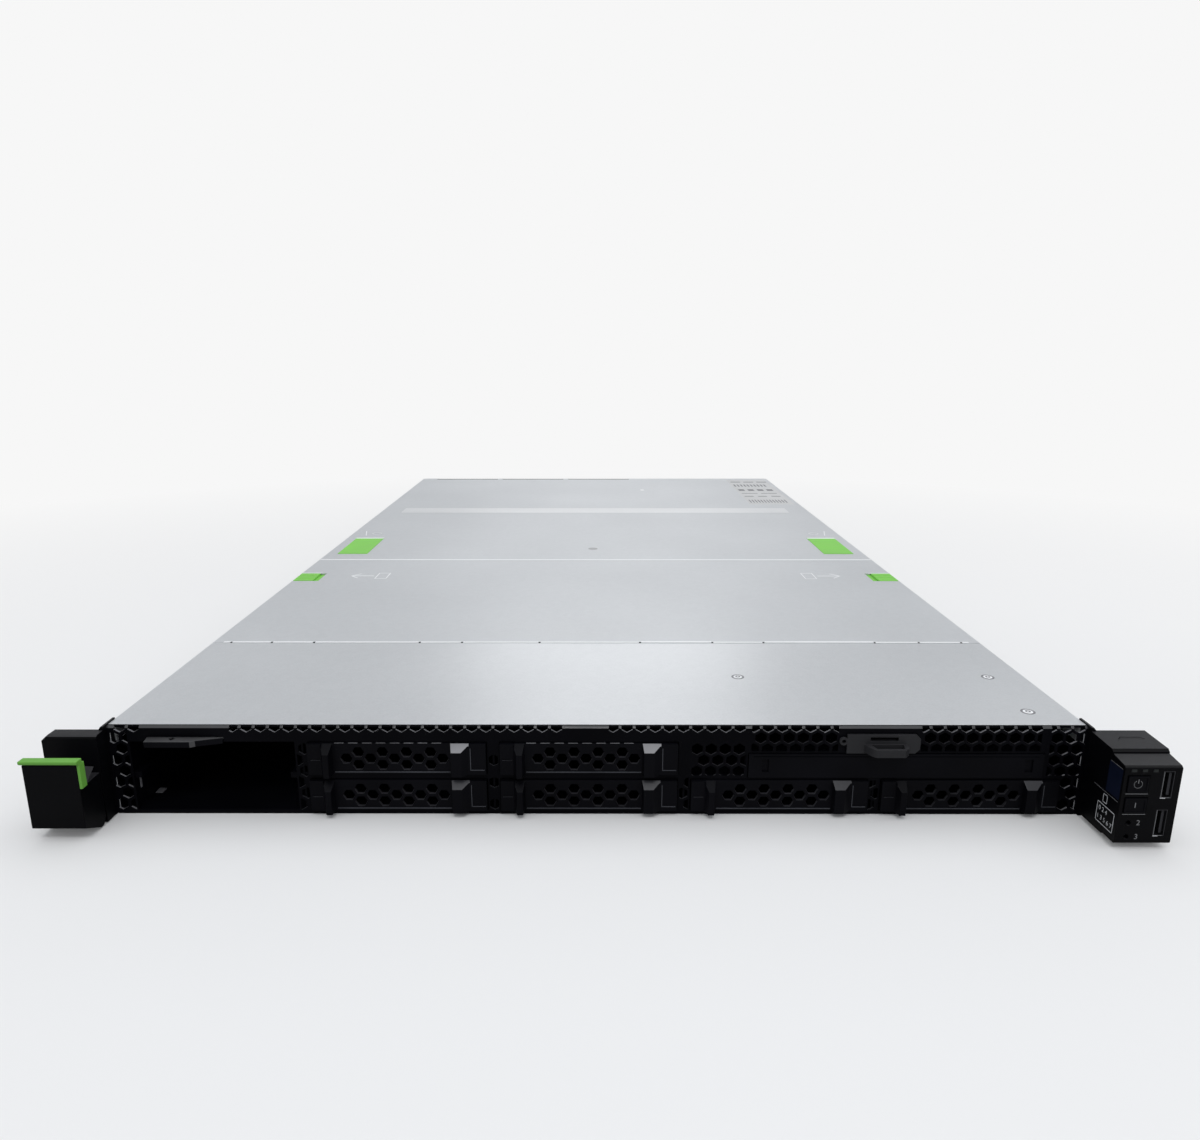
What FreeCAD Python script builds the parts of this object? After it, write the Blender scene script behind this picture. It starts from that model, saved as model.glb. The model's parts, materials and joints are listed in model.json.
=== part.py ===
# A 1U rack server with a perforated drive front, two rack ears and a sliding top cover.
# Frame: X to the right seen from the front, Y to the rear, Z up, millimetres.
# Origin: middle of the chassis, under the front edge of the top sheets.

import FreeCAD
import Part
import math
import os
import Sketcher
from types import SimpleNamespace

V = FreeCAD.Vector
doc = FreeCAD.newDocument("rack_server")

# Driving sizes

DRIVING = [
    ("body_width", 435.0, "chassis outside width"),
    ("body_height", 43.0, "chassis height with its top sheet"),
    ("body_depth", 748.0, "front edge of the top sheet to the rear wall"),
    ("ear_width", 23.8, "rack ear beside the chassis; two of them make 19 inches"),
    ("sheet", 1.0, "steel sheet of tray, covers and grille"),
    ("slip", 0.1, "gap between flat faces that slide on each other"),
    ("play", 0.3, "gap round a piece that slides in an opening"),
    ("nose", 2.0, "how far the front face stands before the top sheet"),
    ("plate_depth", 110.0, "fixed top plate, front to rear"),
    ("seam_gap", 0.4, "gap between the top plate and the cover"),
    ("tongue_pitch", 86.0, "cover tongues, centre to centre"),
    ("tongue_width", 24.0, "width of a cover tongue"),
    ("tongue_reach", 7.0, "tongue length under the top plate"),
    ("flange", 8.0, "height of the turned down sheet edges"),
    ("cover_travel", 12.0, "slide of the cover before it lifts"),
    ("side_left", 3.5, "chassis side to the first drive column"),
    ("side_right", 4.0, "last drive column to the chassis side"),
    ("column_count", 5, "drive columns over the front, the first one empty"),
    ("column_gap", 6.2, "front face between two drive columns"),
    ("blank_height", 14.9, "drive blank height"),
    ("blank_depth", 62.0, "drive blank length behind the face"),
    ("row_low", 2.3, "underside of the lower row of drives"),
    ("row_pitch", 17.9, "lower row to upper row"),
    ("thin_bar", 0.6, "narrowest bar of the front face"),
    ("bay_depth", 118.0, "drive cage length"),
    ("bay_inset", 9.5, "chassis side to the empty bay"),
    ("bay_rim", 6.1, "front face right of the empty bay"),
    ("cell_pitch", 6.26, "vent hexagons, centre to centre"),
    ("cell_across", 4.9, "vent hexagon across flats"),
    ("cell_drop", 0.2, "top row of hexagon centres below the top sheets' face"),
    ("cell_phase", 7.3, "side place of one hexagon of the top row"),
    ("mesh_pitch", 6.2, "blank hexagons, centre to centre"),
    ("mesh_across", 4.7, "blank hexagon across flats"),
    ("blank_wall", 1.6, "wall of a drive blank"),
    ("grip_end", 7.0, "blank finger panel width"),
    ("rib_end", 11.0, "outer side of the left rib of a blank"),
    ("mesh_first", 16.9, "first column of hexagons in a blank"),
    ("end_panel", 8.0, "end panel width of a blank"),
    ("block_slope", 2.8, "slanted side of the catch block"),
    ("block_width", 5.0, "catch block width"),
    ("rib_reach", 4.8, "left rib in front of the face"),
    ("block_reach", 3.4, "catch block in front of the face"),
    ("optical_inset", 18.0, "chassis side to the slim bay blank"),
    ("optical_width", 131.5, "slim bay blank width"),
    ("optical_height", 11.5, "slim bay blank height"),
    ("card_inset", 17.5, "chassis side to the identity card"),
    ("card_width", 34.0, "identity card width"),
    ("card_tab", 23.0, "identity card finger tab width"),
    ("card_length", 74.0, "identity card length behind the face"),
    ("card_drop", 5.3, "underside of the identity card below the top sheets"),
    ("card_sheet", 0.8, "identity card thickness"),
    ("tab_inset", 56.0, "right end of the slim bay to the pull tab plate"),
    ("tab_width", 32.5, "pull tab plate width"),
    ("tab_gap", 0.7, "slim bay blank to the pull tab plate"),
    ("tab_drop", 2.4, "pull tab plate below the top sheets"),
    ("window_inset", 9.3, "pull tab plate edge to its window"),
    ("window_width", 14.3, "window behind the pull tab"),
    ("loop_reach", 6.0, "pull tab loop in front of its plate"),
    ("ear_drop", 1.0, "top of the ears below the top sheets"),
    ("ear_back", 3.5, "rack contact face of the ears before the top sheet"),
    ("left_block", 7.0, "left ear block, front to rear"),
    ("lever_face", 26.0, "front of the left lever"),
    ("lever_drop", 5.7, "top of the left lever below the ear's top"),
    ("lever_foot", 6.5, "lower edge of the lever face"),
    ("lever_floor", 25.0, "floor of the finger pocket"),
    ("lever_skin", 2.4, "lever face thickness"),
    ("pivot_back", 13.0, "lever pin before the top sheet"),
    ("pivot_high", 3.6, "lever pin above the chassis bottom"),
    ("pin_radius", 1.2, "hinge pins"),
    ("pin_play", 0.05, "radial gap round a hinge pin"),
    ("right_block", 18.0, "right ear block, front to rear"),
    ("panel_depth", 9.0, "control panel, front to rear"),
    ("panel_face", 31.0, "front of the control panel"),
    ("button_travel", 1.0, "push button travel"),
    ("usb_width", 4.8, "port shell, narrow side"),
    ("usb_height", 12.2, "port shell, long side"),
    ("usb_depth", 13.0, "port shell depth"),
    ("hook_sheet", 2.6, "rack hook thickness"),
    ("hook_reach", 9.0, "rack hook behind the ear"),
    ("latch_width", 13.8, "cover latch width"),
    ("latch_rim", 0.4, "cover latch to the chassis side"),
    ("latch_start", 246.0, "cover latch, front edge"),
    ("latch_length", 20.0, "cover latch, front to rear"),
    ("latch_travel", 4.0, "cover latch slide"),
    ("pad_start", 330.0, "touch pad, front edge"),
    ("pad_length", 60.0, "touch pad, front to rear"),
    ("pad_width", 24.0, "touch pad width"),
    ("pad_rim", 8.5, "chassis side to the touch pad"),
    ("rib_start", 512.0, "cover bead, front edge"),
    ("rib_length", 25.0, "cover bead, front to rear"),
    ("bead_rim", 21.5, "chassis side to the cover bead"),
    ("bead_height", 0.6, "cover bead above the sheet"),
    ("fan_count", 8, "cooling fans in the row"),
    ("fan_room", 1.0, "fan frame to the top sheets"),
    ("fan_margin", 27.0, "chassis width that the fan row leaves"),
    ("fan_depth", 28.0, "fan frame, front to rear"),
    ("fan_start", 168.0, "front of the fan row"),
    ("fan_wall", 1.4, "thinnest wall of a fan frame"),
    ("blade_gap", 0.7, "blade tip to bore"),
    ("hub_radius", 8.6, "fan hub radius"),
    ("shaft_radius", 1.5, "fan shaft radius"),
    ("board_base", 5.0, "underside of the main board"),
    ("board_sheet", 1.6, "circuit board thickness"),
    ("board_start", 240.0, "front edge of the main board"),
    ("sink_width", 78.0, "heat sink width"),
    ("sink_depth", 110.0, "heat sink, front to rear"),
    ("sink_place", 104.0, "heat sink centre from the middle"),
    ("sink_start", 300.0, "front of the heat sinks"),
    ("fin_pitch", 9.6, "heat sink fins, centre to centre"),
    ("fin_sheet", 1.0, "heat sink fin thickness"),
    ("module_count", 8, "memory modules in a bank"),
    ("module_pitch", 7.6, "memory modules, centre to centre"),
    ("module_sheet", 3.2, "memory module thickness"),
    ("module_length", 133.0, "memory module length"),
    ("supply_width", 75.0, "power supply width"),
    ("supply_room", 1.7, "power supply to the top sheets"),
    ("supply_depth", 186.0, "power supply length"),
    ("supply_rim", 10.0, "power supplies to the chassis side"),
    ("supply_pitch", 78.0, "power supplies, side to side"),
    ("slot_count", 3, "card slots at the rear"),
    ("slot_gap", 4.0, "wall between two card slots"),
    ("slot_inset", 16.5, "chassis side to the first card slot"),
    ("slot_end", 6.5, "last card slot to the power supplies, less one gap"),
    ("slot_low", 21.5, "underside of the card slots"),
    ("slot_room", 2.1, "card slots to the top sheets"),
    ("duct_room", 1.6, "air duct to the top sheets"),
    ("stud_radius", 3.0, "rail stud radius"),
    ("stud_reach", 3.2, "rail stud length"),
    ("stud_count", 3, "rail studs on each side"),
    ("stud_start", 50.0, "first rail stud behind the top sheet edge"),
    ("stud_end", 53.0, "last rail stud before the rear wall"),
    ("stud_high", 21.5, "rail stud height"),
]

sheet = doc.addObject("Spreadsheet::Sheet", "sizes")
for line, (alias, number, note) in enumerate(DRIVING, start=1):
    sheet.set("A%d" % line, note)
    sheet.set("B%d" % line, str(number))
    sheet.setAlias("B%d" % line, alias)
doc.recompute()


class Size:
    """A length with its number and the formula that ties it to the sheet."""

    def __init__(self, value, formula):
        self.value = float(value)
        self.formula = formula

    def __add__(self, other):
        other = as_size(other)
        return Size(self.value + other.value, "(%s + %s)" % (self.formula, other.formula))

    def __radd__(self, other):
        return as_size(other) + self

    def __sub__(self, other):
        other = as_size(other)
        return Size(self.value - other.value, "(%s - %s)" % (self.formula, other.formula))

    def __rsub__(self, other):
        return as_size(other) - self

    def __mul__(self, other):
        other = as_size(other)
        return Size(self.value * other.value, "(%s * %s)" % (self.formula, other.formula))

    def __rmul__(self, other):
        return as_size(other) * self

    def __truediv__(self, other):
        other = as_size(other)
        return Size(self.value / other.value, "(%s / %s)" % (self.formula, other.formula))

    def __neg__(self):
        return Size(-self.value, "(0 - %s)" % self.formula)


def as_size(item):
    """Return a Size, also for a plain number."""
    if isinstance(item, Size):
        return item
    return Size(item, "%.6g" % item)


def read(alias):
    """Read one driving size from the sheet."""
    return Size(sheet.get(alias), "sizes." + alias)


s = SimpleNamespace(**{alias: read(alias) for alias, number, note in DRIVING})

# Places that several pieces share

half = s.body_width / 2
inner = half - s.sheet
roof = s.body_height - s.sheet
wall_top = roof - s.slip
face = -s.nose
face_back = face + s.sheet
cage_back = face_back + s.bay_depth
ear_outer = half + s.ear_width
ear_inner = half + s.play
ear_middle = half + s.ear_width / 2
ear_rear = -s.ear_back
ear_top = s.body_height - s.ear_drop
lever_top = ear_top - s.lever_drop
rear = s.body_depth
rear_inner = rear - s.sheet
row_high = s.row_low + s.row_pitch
low_top = s.row_low + s.blank_height
high_top = row_high + s.blank_height
optical_low = low_top + s.play + s.thin_bar + s.play
optical_top = optical_low + s.optical_height
column_pitch = (s.body_width - s.side_left - s.side_right) / s.column_count
blank_width = column_pitch - s.column_gap
cell_row = s.body_height - s.cell_drop
panel_start = blank_width - s.end_panel
block_end = panel_start - s.block_slope
mesh_end = block_end - s.block_width
bay_left = -half + s.bay_inset
optical_right = half - s.optical_inset
optical_left = optical_right - s.optical_width
card_left = -half + s.card_inset
card_right = card_left + s.card_width
card_low = roof - s.card_drop
card_top = card_low + s.card_sheet
tab_right = optical_right - s.tab_inset
tab_left = tab_right - s.tab_width
tab_low = optical_top + s.tab_gap
tab_high = roof - s.tab_drop
window_left = tab_left + s.window_inset
window_right = window_left + s.window_width
cover_front = s.plate_depth + s.seam_gap
board_top = s.board_base + s.board_sheet
latch_outer = half - s.latch_rim
latch_inner = latch_outer - s.latch_width
fan_size = roof - s.fan_room - s.sheet
fan_bore = fan_size / 2 - s.fan_wall
fan_pitch = (s.body_width - s.fan_margin) / s.fan_count
supply_low = s.sheet + s.play
supply_high = roof - s.supply_room
supply_left = half - s.supply_rim - s.supply_width - s.supply_pitch
slot_left = -half + s.slot_inset
slot_pitch = (supply_left - slot_left - s.slot_end) / s.slot_count
slot_width = slot_pitch - s.slot_gap
slot_high = roof - s.slot_room
duct_top = roof - s.duct_room
stud_pitch = (s.body_depth - s.stud_start - s.stud_end) / (s.stud_count - 1)


def column(index):
    """Left edge of a drive column, the first with blanks being 0."""
    return s.side_left - half + column_pitch * (index + 1)


bay_right = column(0) - s.bay_rim

nodes = []


def keep(thing, label):
    """Give a finished piece its name and put it on the list to write."""
    thing.Label = label
    nodes.append(thing)
    return thing


def bind(thing, prop, size):
    """Tie a property to a formula on the sheet."""
    thing.setExpression(prop, as_size(size).formula)


def box(x, y, z, name="block"):
    """A block between two places on each axis."""
    thing = doc.addObject("Part::Box", name)
    for prop, axis, (low, high) in zip(("Length", "Width", "Height"), "xyz", (x, y, z)):
        bind(thing, prop, as_size(high) - low)
        bind(thing, "Placement.Base." + axis, low)
    return thing


AXIS_TURN = {
    "x": FreeCAD.Rotation(V(0, 1, 0), 90),
    "y": FreeCAD.Rotation(V(1, 0, 0), -90),
    "z": FreeCAD.Rotation(),
}


def rod(axis, start, centre, radius, name="rod"):
    """A round bar along an axis; start is its (low, high) there, centre the other two places."""
    low, high = start
    thing = doc.addObject("Part::Cylinder", name)
    thing.Placement = FreeCAD.Placement(V(0, 0, 0), AXIS_TURN[axis])
    bind(thing, "Radius", radius)
    bind(thing, "Height", as_size(high) - low)
    places = dict(zip([a for a in "xyz" if a != axis], centre))
    places[axis] = low
    for letter, place in places.items():
        bind(thing, "Placement.Base." + letter, place)
    return thing


def prism(axis, start, centre, radius, sides, name="prism"):
    """A bar with a regular outline along an axis, placed as a rod is."""
    low, high = start
    thing = doc.addObject("Part::Prism", name)
    thing.Polygon = sides
    thing.Placement = FreeCAD.Placement(V(0, 0, 0), AXIS_TURN[axis])
    bind(thing, "Circumradius", radius)
    bind(thing, "Height", as_size(high) - low)
    places = dict(zip([a for a in "xyz" if a != axis], centre))
    places[axis] = low
    for letter, place in places.items():
        bind(thing, "Placement.Base." + letter, place)
    return thing


def fuse(parts, name="joined"):
    """Join solids of one piece."""
    thing = doc.addObject("Part::MultiFuse", name)
    thing.Shapes = parts
    thing.Refine = True
    return thing


def cut(base, tools, name="cut"):
    """Take tools away from a piece."""
    thing = doc.addObject("Part::Cut", name)
    thing.Base = base
    thing.Tool = tools[0] if len(tools) == 1 else fuse(tools, name + "_tools")
    return thing


def group(parts, name):
    """Separate solids of one node."""
    thing = doc.addObject("Part::Compound", name)
    thing.Links = parts
    return thing


def clone(source, name, x=0, y=0, z=0):
    """The same piece again at another place."""
    thing = doc.addObject("Part::Compound", name)
    thing.Links = [source]
    for axis, place in zip("xyz", (x, y, z)):
        bind(thing, "Placement.Base." + axis, place)
    return thing


PLANES = {"xy": "XY_Plane", "xz": "XZ_Plane", "yz": "YZ_Plane"}


def outline(body, plane, points, offset):
    """A closed sketch through the points, each point held from the origin."""
    sketch = body.newObject("Sketcher::SketchObject", body.Name + "_sketch")
    role = PLANES[plane]
    origin = [f for f in body.Origin.OriginFeatures if f.Role == role][0]
    sketch.AttachmentSupport = [(origin, "")]
    sketch.MapMode = "FlatFace"
    bind(sketch, "AttachmentOffset.Base.z", offset)
    places = [(as_size(a), as_size(b)) for a, b in points]
    ends = places[1:] + places[:1]
    for (a, b), (c, d) in zip(places, ends):
        sketch.addGeometry(Part.LineSegment(V(a.value, b.value, 0), V(c.value, d.value, 0)))
    count = len(places)
    for index in range(count):
        sketch.addConstraint(Sketcher.Constraint("Coincident", index, 2, (index + 1) % count, 1))
    for index, pair in enumerate(places):
        for kind, place in zip(("DistanceX", "DistanceY"), pair):
            number = sketch.addConstraint(Sketcher.Constraint(kind, -1, 1, index, 1, place.value))
            sketch.setExpression("Constraints[%d]" % number, place.formula)
    return sketch


def pad(name, plane, points, low, high):
    """A body made by one padded outline between two places on the plane's normal."""
    body = doc.addObject("PartDesign::Body", name)
    offset = -as_size(high) if plane == "xz" else as_size(low)
    sketch = outline(body, plane, points, offset)
    feature = body.newObject("PartDesign::Pad", name + "_pad")
    feature.Profile = sketch
    bind(feature, "Length", as_size(high) - low)
    body.Tip = feature
    return body


def mirrored(points):
    """The same outline on the other side of the middle."""
    return [(-as_size(a), b) for a, b in reversed(points)]


# Hexagon patterns

def clip(points, index, limit, keep_below):
    """Cut a polygon along one side of a rectangle."""
    result = []
    for here, after in zip(points, points[1:] + points[:1]):
        inside = (here[index] <= limit) == keep_below
        inside_after = (after[index] <= limit) == keep_below
        if inside:
            result.append(here)
        if inside != inside_after:
            share = (limit - here[index]) / (after[index] - here[index])
            result.append(tuple(p + share * (q - p) for p, q in zip(here, after)))
    return result


def area(points):
    """Area of a flat polygon."""
    pairs = zip(points, points[1:] + points[:1])
    return abs(sum(a[0] * b[1] - b[0] * a[1] for a, b in pairs)) / 2


SMALLEST_CELL = 6.5
UPRIGHT = 30
FLAT_TOPPED = 0
CELL_CORNERS = 6


def cell(x, z, across, turn):
    """Corners of one hexagon."""
    reach = across / math.sqrt(3)
    steps = [math.radians(turn + 60 * k) for k in range(CELL_CORNERS)]
    return [(x + reach * math.cos(a), z + reach * math.sin(a)) for a in steps]


def cells(name, zones, lattice, across, turn, front, back):
    """Prisms for every hexagon of a lattice that shows inside the zones."""
    prisms = []
    for left, right, low, high in zones:
        for x, z in lattice(left, right, low, high):
            shape = cell(x, z, across, turn)
            for index, limit, below in ((0, left, False), (0, right, True), (1, low, False), (1, high, True)):
                shape = clip(shape, index, limit, below) if len(shape) > 2 else []
            if len(shape) > 2 and area(shape) > SMALLEST_CELL:
                corners = [V(a, front, b) for a, b in shape]
                flat = Part.Face(Part.makePolygon(corners + corners[:1]))
                prisms.append(flat.extrude(V(0, back - front, 0)))
    thing = doc.addObject("Part::Feature", name)
    thing.Shape = Part.makeCompound(prisms)
    return thing


def face_lattice(left, right, low, high):
    """Upright hexagons of the front face, in one grid over the whole width."""
    pitch = s.cell_pitch.value
    rise = pitch * math.sqrt(3) / 2
    first = math.floor((cell_row.value - high) / rise)
    last = math.ceil((cell_row.value - low) / rise)
    for row in range(first, last + 1):
        shift = s.cell_phase.value + (pitch / 2 if row % 2 else 0)
        start = math.floor((left - shift) / pitch)
        stop = math.ceil((right - shift) / pitch)
        for k in range(start, stop + 1):
            yield shift + k * pitch, cell_row.value - row * rise


def mesh_lattice(left, right, low, high):
    """Flat topped hexagons of a blank, columns of one and of two in turn."""
    pitch = s.mesh_pitch.value
    step = pitch * math.sqrt(3) / 2
    centre = (low + high) / 2
    first = left + s.mesh_across.value / math.sqrt(3)
    for k in range(int((right - first) / step) + 1):
        shifts = (-pitch / 2, pitch / 2) if k % 2 else (0.0,)
        for shift in shifts:
            yield first + k * step, centre + shift


# Chassis

def make_tray():
    """Floor and side walls, bent from one sheet."""
    profile = [(-half, 0), (half, 0), (half, wall_top), (inner, wall_top), (inner, s.sheet)]
    profile += [(-inner, s.sheet), (-inner, wall_top), (-half, wall_top)]
    keep(pad("tray_shell", "xz", profile, face_back, rear), "chassis_tray")


# Rear ports: left edge, underside, width and height of each
NET_SIZE = (15.0, 12.4)
USB_SIZE = (13.2, 13.4)
VIDEO_SIZE = (31.0, 11.4)
PORT_BASE = board_top + 0.2
NET_COUNT = 3
USB_COUNT = 2
NET_PITCH = 18.0
USB_PITCH = 17.0
NET_START = -half + 21.5
USB_START = NET_START + 58.0
VIDEO_START = USB_START + 42.0
NET_PORTS = [(NET_START + NET_PITCH * k, PORT_BASE) + NET_SIZE for k in range(NET_COUNT)]
USB_PORTS = [(USB_START + USB_PITCH * k, PORT_BASE) + USB_SIZE for k in range(USB_COUNT)]
VIDEO_PORTS = [(VIDEO_START, PORT_BASE) + VIDEO_SIZE]
PORTS = NET_PORTS + USB_PORTS + VIDEO_PORTS
PORT_PLAY = 0.3
PORT_DEPTH = 18.0
NET_MOUTH = 11.0
USB_MOUTH = 12.0
USB_LEVEL = 6.2
USB_OPEN = 5.2


def make_rear_ports():
    """Network, serial bus and video sockets standing on the board."""
    shells = []
    back = rear + PORT_PLAY
    for left, low, width, height in NET_PORTS:
        shell = box((left, left + width), (back - PORT_DEPTH, back), (low, low + height), "net_shell")
        mouth_x = (left + 1.6, left + width - 1.6)
        mouth_z = (low + 2, low + height - 1.8)
        mouth = box(mouth_x, (back - NET_MOUTH, back + 1), mouth_z, "net_mouth")
        shells.append(cut(shell, [mouth], "net_socket"))
    for left, low, width, height in USB_PORTS:
        shell = box((left, left + width), (back - PORT_DEPTH, back), (low, low + height), "usb_shell")
        mouths = []
        tongues = []
        for level in range(2):
            bottom = low + 0.8 + level * USB_LEVEL
            mouth_x = (left + 0.6, left + width - 0.6)
            mouths.append(box(mouth_x, (back - USB_MOUTH, back + 1), (bottom, bottom + USB_OPEN)))
            tongue_x = (left + 1.2, left + width - 1.2)
            tongue_y = (back - USB_MOUTH - 1, back - 1)
            tongues.append(box(tongue_x, tongue_y, (bottom + 3.0, bottom + 4.6)))
        socket = cut(shell, mouths, "usb_cavity")
        shells.append(fuse([socket] + tongues, "usb_socket"))
    for left, low, width, height in VIDEO_PORTS:
        shell = box((left, left + width), (back - 14, back), (low, low + height), "video_flange")
        nose = box((left + 7, left + width - 7), (back - 1, back + 5), (low + 1.8, low + height - 1.6))
        shells.append(fuse([shell, nose], "video_socket"))
    keep(group(shells, "ports"), "rear_ports")


FRAME_POST = 4.0
PLATE_END = 6.0
SLOT_LIP = 2.0


def make_rear_wall():
    """Rear sheets between the side walls: port plate, card slot frame and power supply frame."""
    through = (rear_inner - 1, rear + 1)
    supply_side = supply_left - s.play - FRAME_POST
    port_side = VIDEO_START + VIDEO_SIZE[0] + PLATE_END
    port_high = s.slot_low + SLOT_LIP / 2
    plate = box((-inner, port_side), (rear_inner, rear), (s.sheet, port_high), "port_sheet")
    port_windows = []
    for left, low, width, height in PORTS:
        x = (left - PORT_PLAY, left + width + PORT_PLAY)
        z = (low - PORT_PLAY, low + height + PORT_PLAY)
        port_windows.append(box(x, through, z, "port_window"))
    frame_shape = [
        (port_side, s.sheet), (supply_side, s.sheet), (supply_side, wall_top), (-inner, wall_top),
        (-inner, port_high), (port_side, port_high),
    ]
    slot_frame = pad("slot_frame_sheet", "xz", frame_shape, rear_inner, rear)
    slot_windows = []
    for index in range(int(s.slot_count.value)):
        left = slot_left + slot_pitch * index
        x = (left + SLOT_LIP, left + slot_width - SLOT_LIP)
        z = (s.slot_low + SLOT_LIP, slot_high - SLOT_LIP)
        slot_windows.append(box(x, through, z, "slot_window"))
    supply_sheet = box((supply_side, inner), (rear_inner, rear), (s.sheet, wall_top), "supply_sheet")
    supply_windows = []
    for index in range(2):
        left = supply_left + s.supply_pitch * index
        x = (left - s.play, left + s.supply_width + s.play)
        z = (s.sheet - 1, supply_high + s.play)
        supply_windows.append(box(x, through, z, "supply_window"))
    sheets = [
        cut(plate, port_windows, "port_plate"), cut(slot_frame, slot_windows, "slot_frame"),
        cut(supply_sheet, supply_windows, "supply_frame"),
    ]
    keep(group(sheets, "rear_sheets"), "rear_wall")


BRACKET_VENTS = 3
BRACKET_EDGE = 5.5
VENT_WEB = 3.0


def make_slot_brackets():
    """Three vented covers behind the card slot windows."""
    covers = []
    for index in range(int(s.slot_count.value)):
        left = slot_left + slot_pitch * index
        x = (left, left + slot_width)
        z = (s.slot_low, slot_high)
        cover = box(x, (rear_inner - 0.8, rear_inner), z, "bracket_sheet")
        vents = []
        vent_pitch = (slot_width - 2 * BRACKET_EDGE) / BRACKET_VENTS
        vent_z = (s.slot_low + BRACKET_EDGE, slot_high - BRACKET_EDGE)
        for k in range(BRACKET_VENTS):
            start = left + BRACKET_EDGE + vent_pitch * k
            vents.append(box((start, start + vent_pitch - VENT_WEB), (rear_inner - 3, rear), vent_z))
        covers.append(cut(cover, vents, "bracket"))
    keep(group(covers, "brackets"), "slot_brackets")


def make_rail_studs():
    """Studs on each side wall that hang in the rack rails."""
    studs = []
    for side in (-1, 1):
        for index in range(int(s.stud_count.value)):
            place = s.stud_start + stud_pitch * index
            span = (half, half + s.stud_reach) if side > 0 else (-half - s.stud_reach, -half)
            studs.append(rod("x", span, (place, s.stud_high), s.stud_radius, "stud"))
    keep(group(studs, "studs"), "rail_studs")


def make_top_plate():
    """Fixed front top sheet, notched where the cover's tongues go under it."""
    back = s.plate_depth
    points = [(-half, 0), (half, 0), (half, back)]
    for index in (2, 1, 0, -1, -2):
        right = s.tongue_pitch * index + s.tongue_width / 2
        left = right - s.tongue_width
        notch = back - 1.2
        points += [(right, back), (right, notch), (left, notch), (left, back)]
    points += [(-half, back)]
    top = pad("plate_sheet", "xy", points, roof, s.body_height)
    sides = []
    for low, high in ((-inner, -inner + s.sheet), (inner - s.sheet, inner)):
        sides.append(box((low, high), (2, back - 14), (roof - s.flange, roof), "plate_flange"))
    keep(fuse([top] + sides, "top_plate"), "front_top_plate")


# Front face

BLANK_PLACES = [(0, 1), (0, 0), (1, 1), (1, 0), (2, 0), (3, 0)]


def row_base(row):
    """Underside of a drive row."""
    return row_high if row else s.row_low


def face_profile():
    """Side view of the front face: upright sheet, slanted fold and the flange behind it."""
    flange_end = -s.slip
    top = s.body_height
    return [
        (face, 0), (face_back, 0), (face_back, roof), (flange_end, roof), (flange_end, top),
        (face_back, top), (face, top - s.sheet),
    ]


def make_grille():
    """Front face with openings for drives, card, slim bay and pull tab, and its vent hexagons."""
    plate = pad("face_sheet", "yz", face_profile(), -half, half)
    through = (face - 1, face_back + 1)
    tools = [box((bay_left, bay_right), through, (s.row_low - s.play, high_top + s.play), "empty_opening")]
    for index, row in BLANK_PLACES:
        left = column(index)
        x = (left - s.play, left + blank_width + s.play)
        base = row_base(row)
        tools.append(box(x, through, (base - s.play, base + s.blank_height + s.play), "blank_opening"))
    x = (optical_left - s.play, optical_right + s.play)
    tools.append(box(x, through, (optical_low - s.play, optical_top + s.play), "optical_opening"))
    x = (card_left - s.play, card_right + s.play)
    z = (card_low - s.play, card_top + s.play)
    tools.append(box(x, through, z, "card_opening"))
    x = (window_left, window_right)
    tools.append(box(x, through, (window_low, window_high), "tab_opening"))
    opened = cut(plate, tools, "face_openings")
    depth = (face.value - 1, face_back.value)
    vents = cells("face_cells", face_zones(), face_lattice, s.cell_across.value, UPRIGHT, *depth)
    keep(cut(opened, [vents], "grille"), "front_grille")


window_high = tab_high - 1.0
window_low = window_high - 4.0
RIM = 0.8
BAND_LEFT = 14.5
BAND_RIGHT = 5.5


def face_zones():
    """Where the front face is perforated: left, right, low, high of each zone; the top row cuts the fold."""
    top = s.body_height.value + 1
    strip = high_top.value + s.play.value + RIM
    floor = s.row_low.value - s.play.value
    low_lid = low_top.value + s.play.value + RIM
    edge = half.value - RIM
    gaps = [(column(k) + blank_width + s.play).value for k in range(4)]
    starts = [(column(k) - s.play).value for k in range(4)]
    optical_lid = optical_top.value + s.play.value + RIM
    optical_x = optical_left.value - s.play.value - RIM
    optical_end = optical_right.value + s.play.value + RIM
    side = bay_left.value - RIM
    under_row = (cell_row - s.cell_pitch / 2).value
    zones = [(-edge, side, floor, top), (side, card_left.value - 2.0, under_row, top)]
    zones.append((bay_right.value + RIM, starts[0] - RIM, floor, strip - RIM))
    zones.append((gaps[0] + RIM, starts[1] - RIM, floor, strip - RIM))
    zones.append((gaps[1] + RIM, starts[2] - RIM, floor, low_lid))
    zones.append((gaps[2] + RIM, starts[3] - RIM, floor, low_lid - RIM - RIM))
    zones.append((gaps[3] + RIM, edge, floor, low_lid))
    zones.append((card_right.value + 3.0, -BAND_LEFT, under_row, top))
    zones.append((BAND_RIGHT, optical_left.value - 1.0, under_row, top))
    zones.append((gaps[1] + 6.0, optical_x, low_lid + RIM, strip - RIM))
    zones.append((optical_left.value + 1.0, tab_left.value - 3.5, optical_lid, top))
    zones.append((tab_right.value + 0.8, optical_end - 3.0, optical_lid, top))
    zones.append((optical_end + 1.0, edge, low_lid + RIM, top))
    return zones


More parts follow.
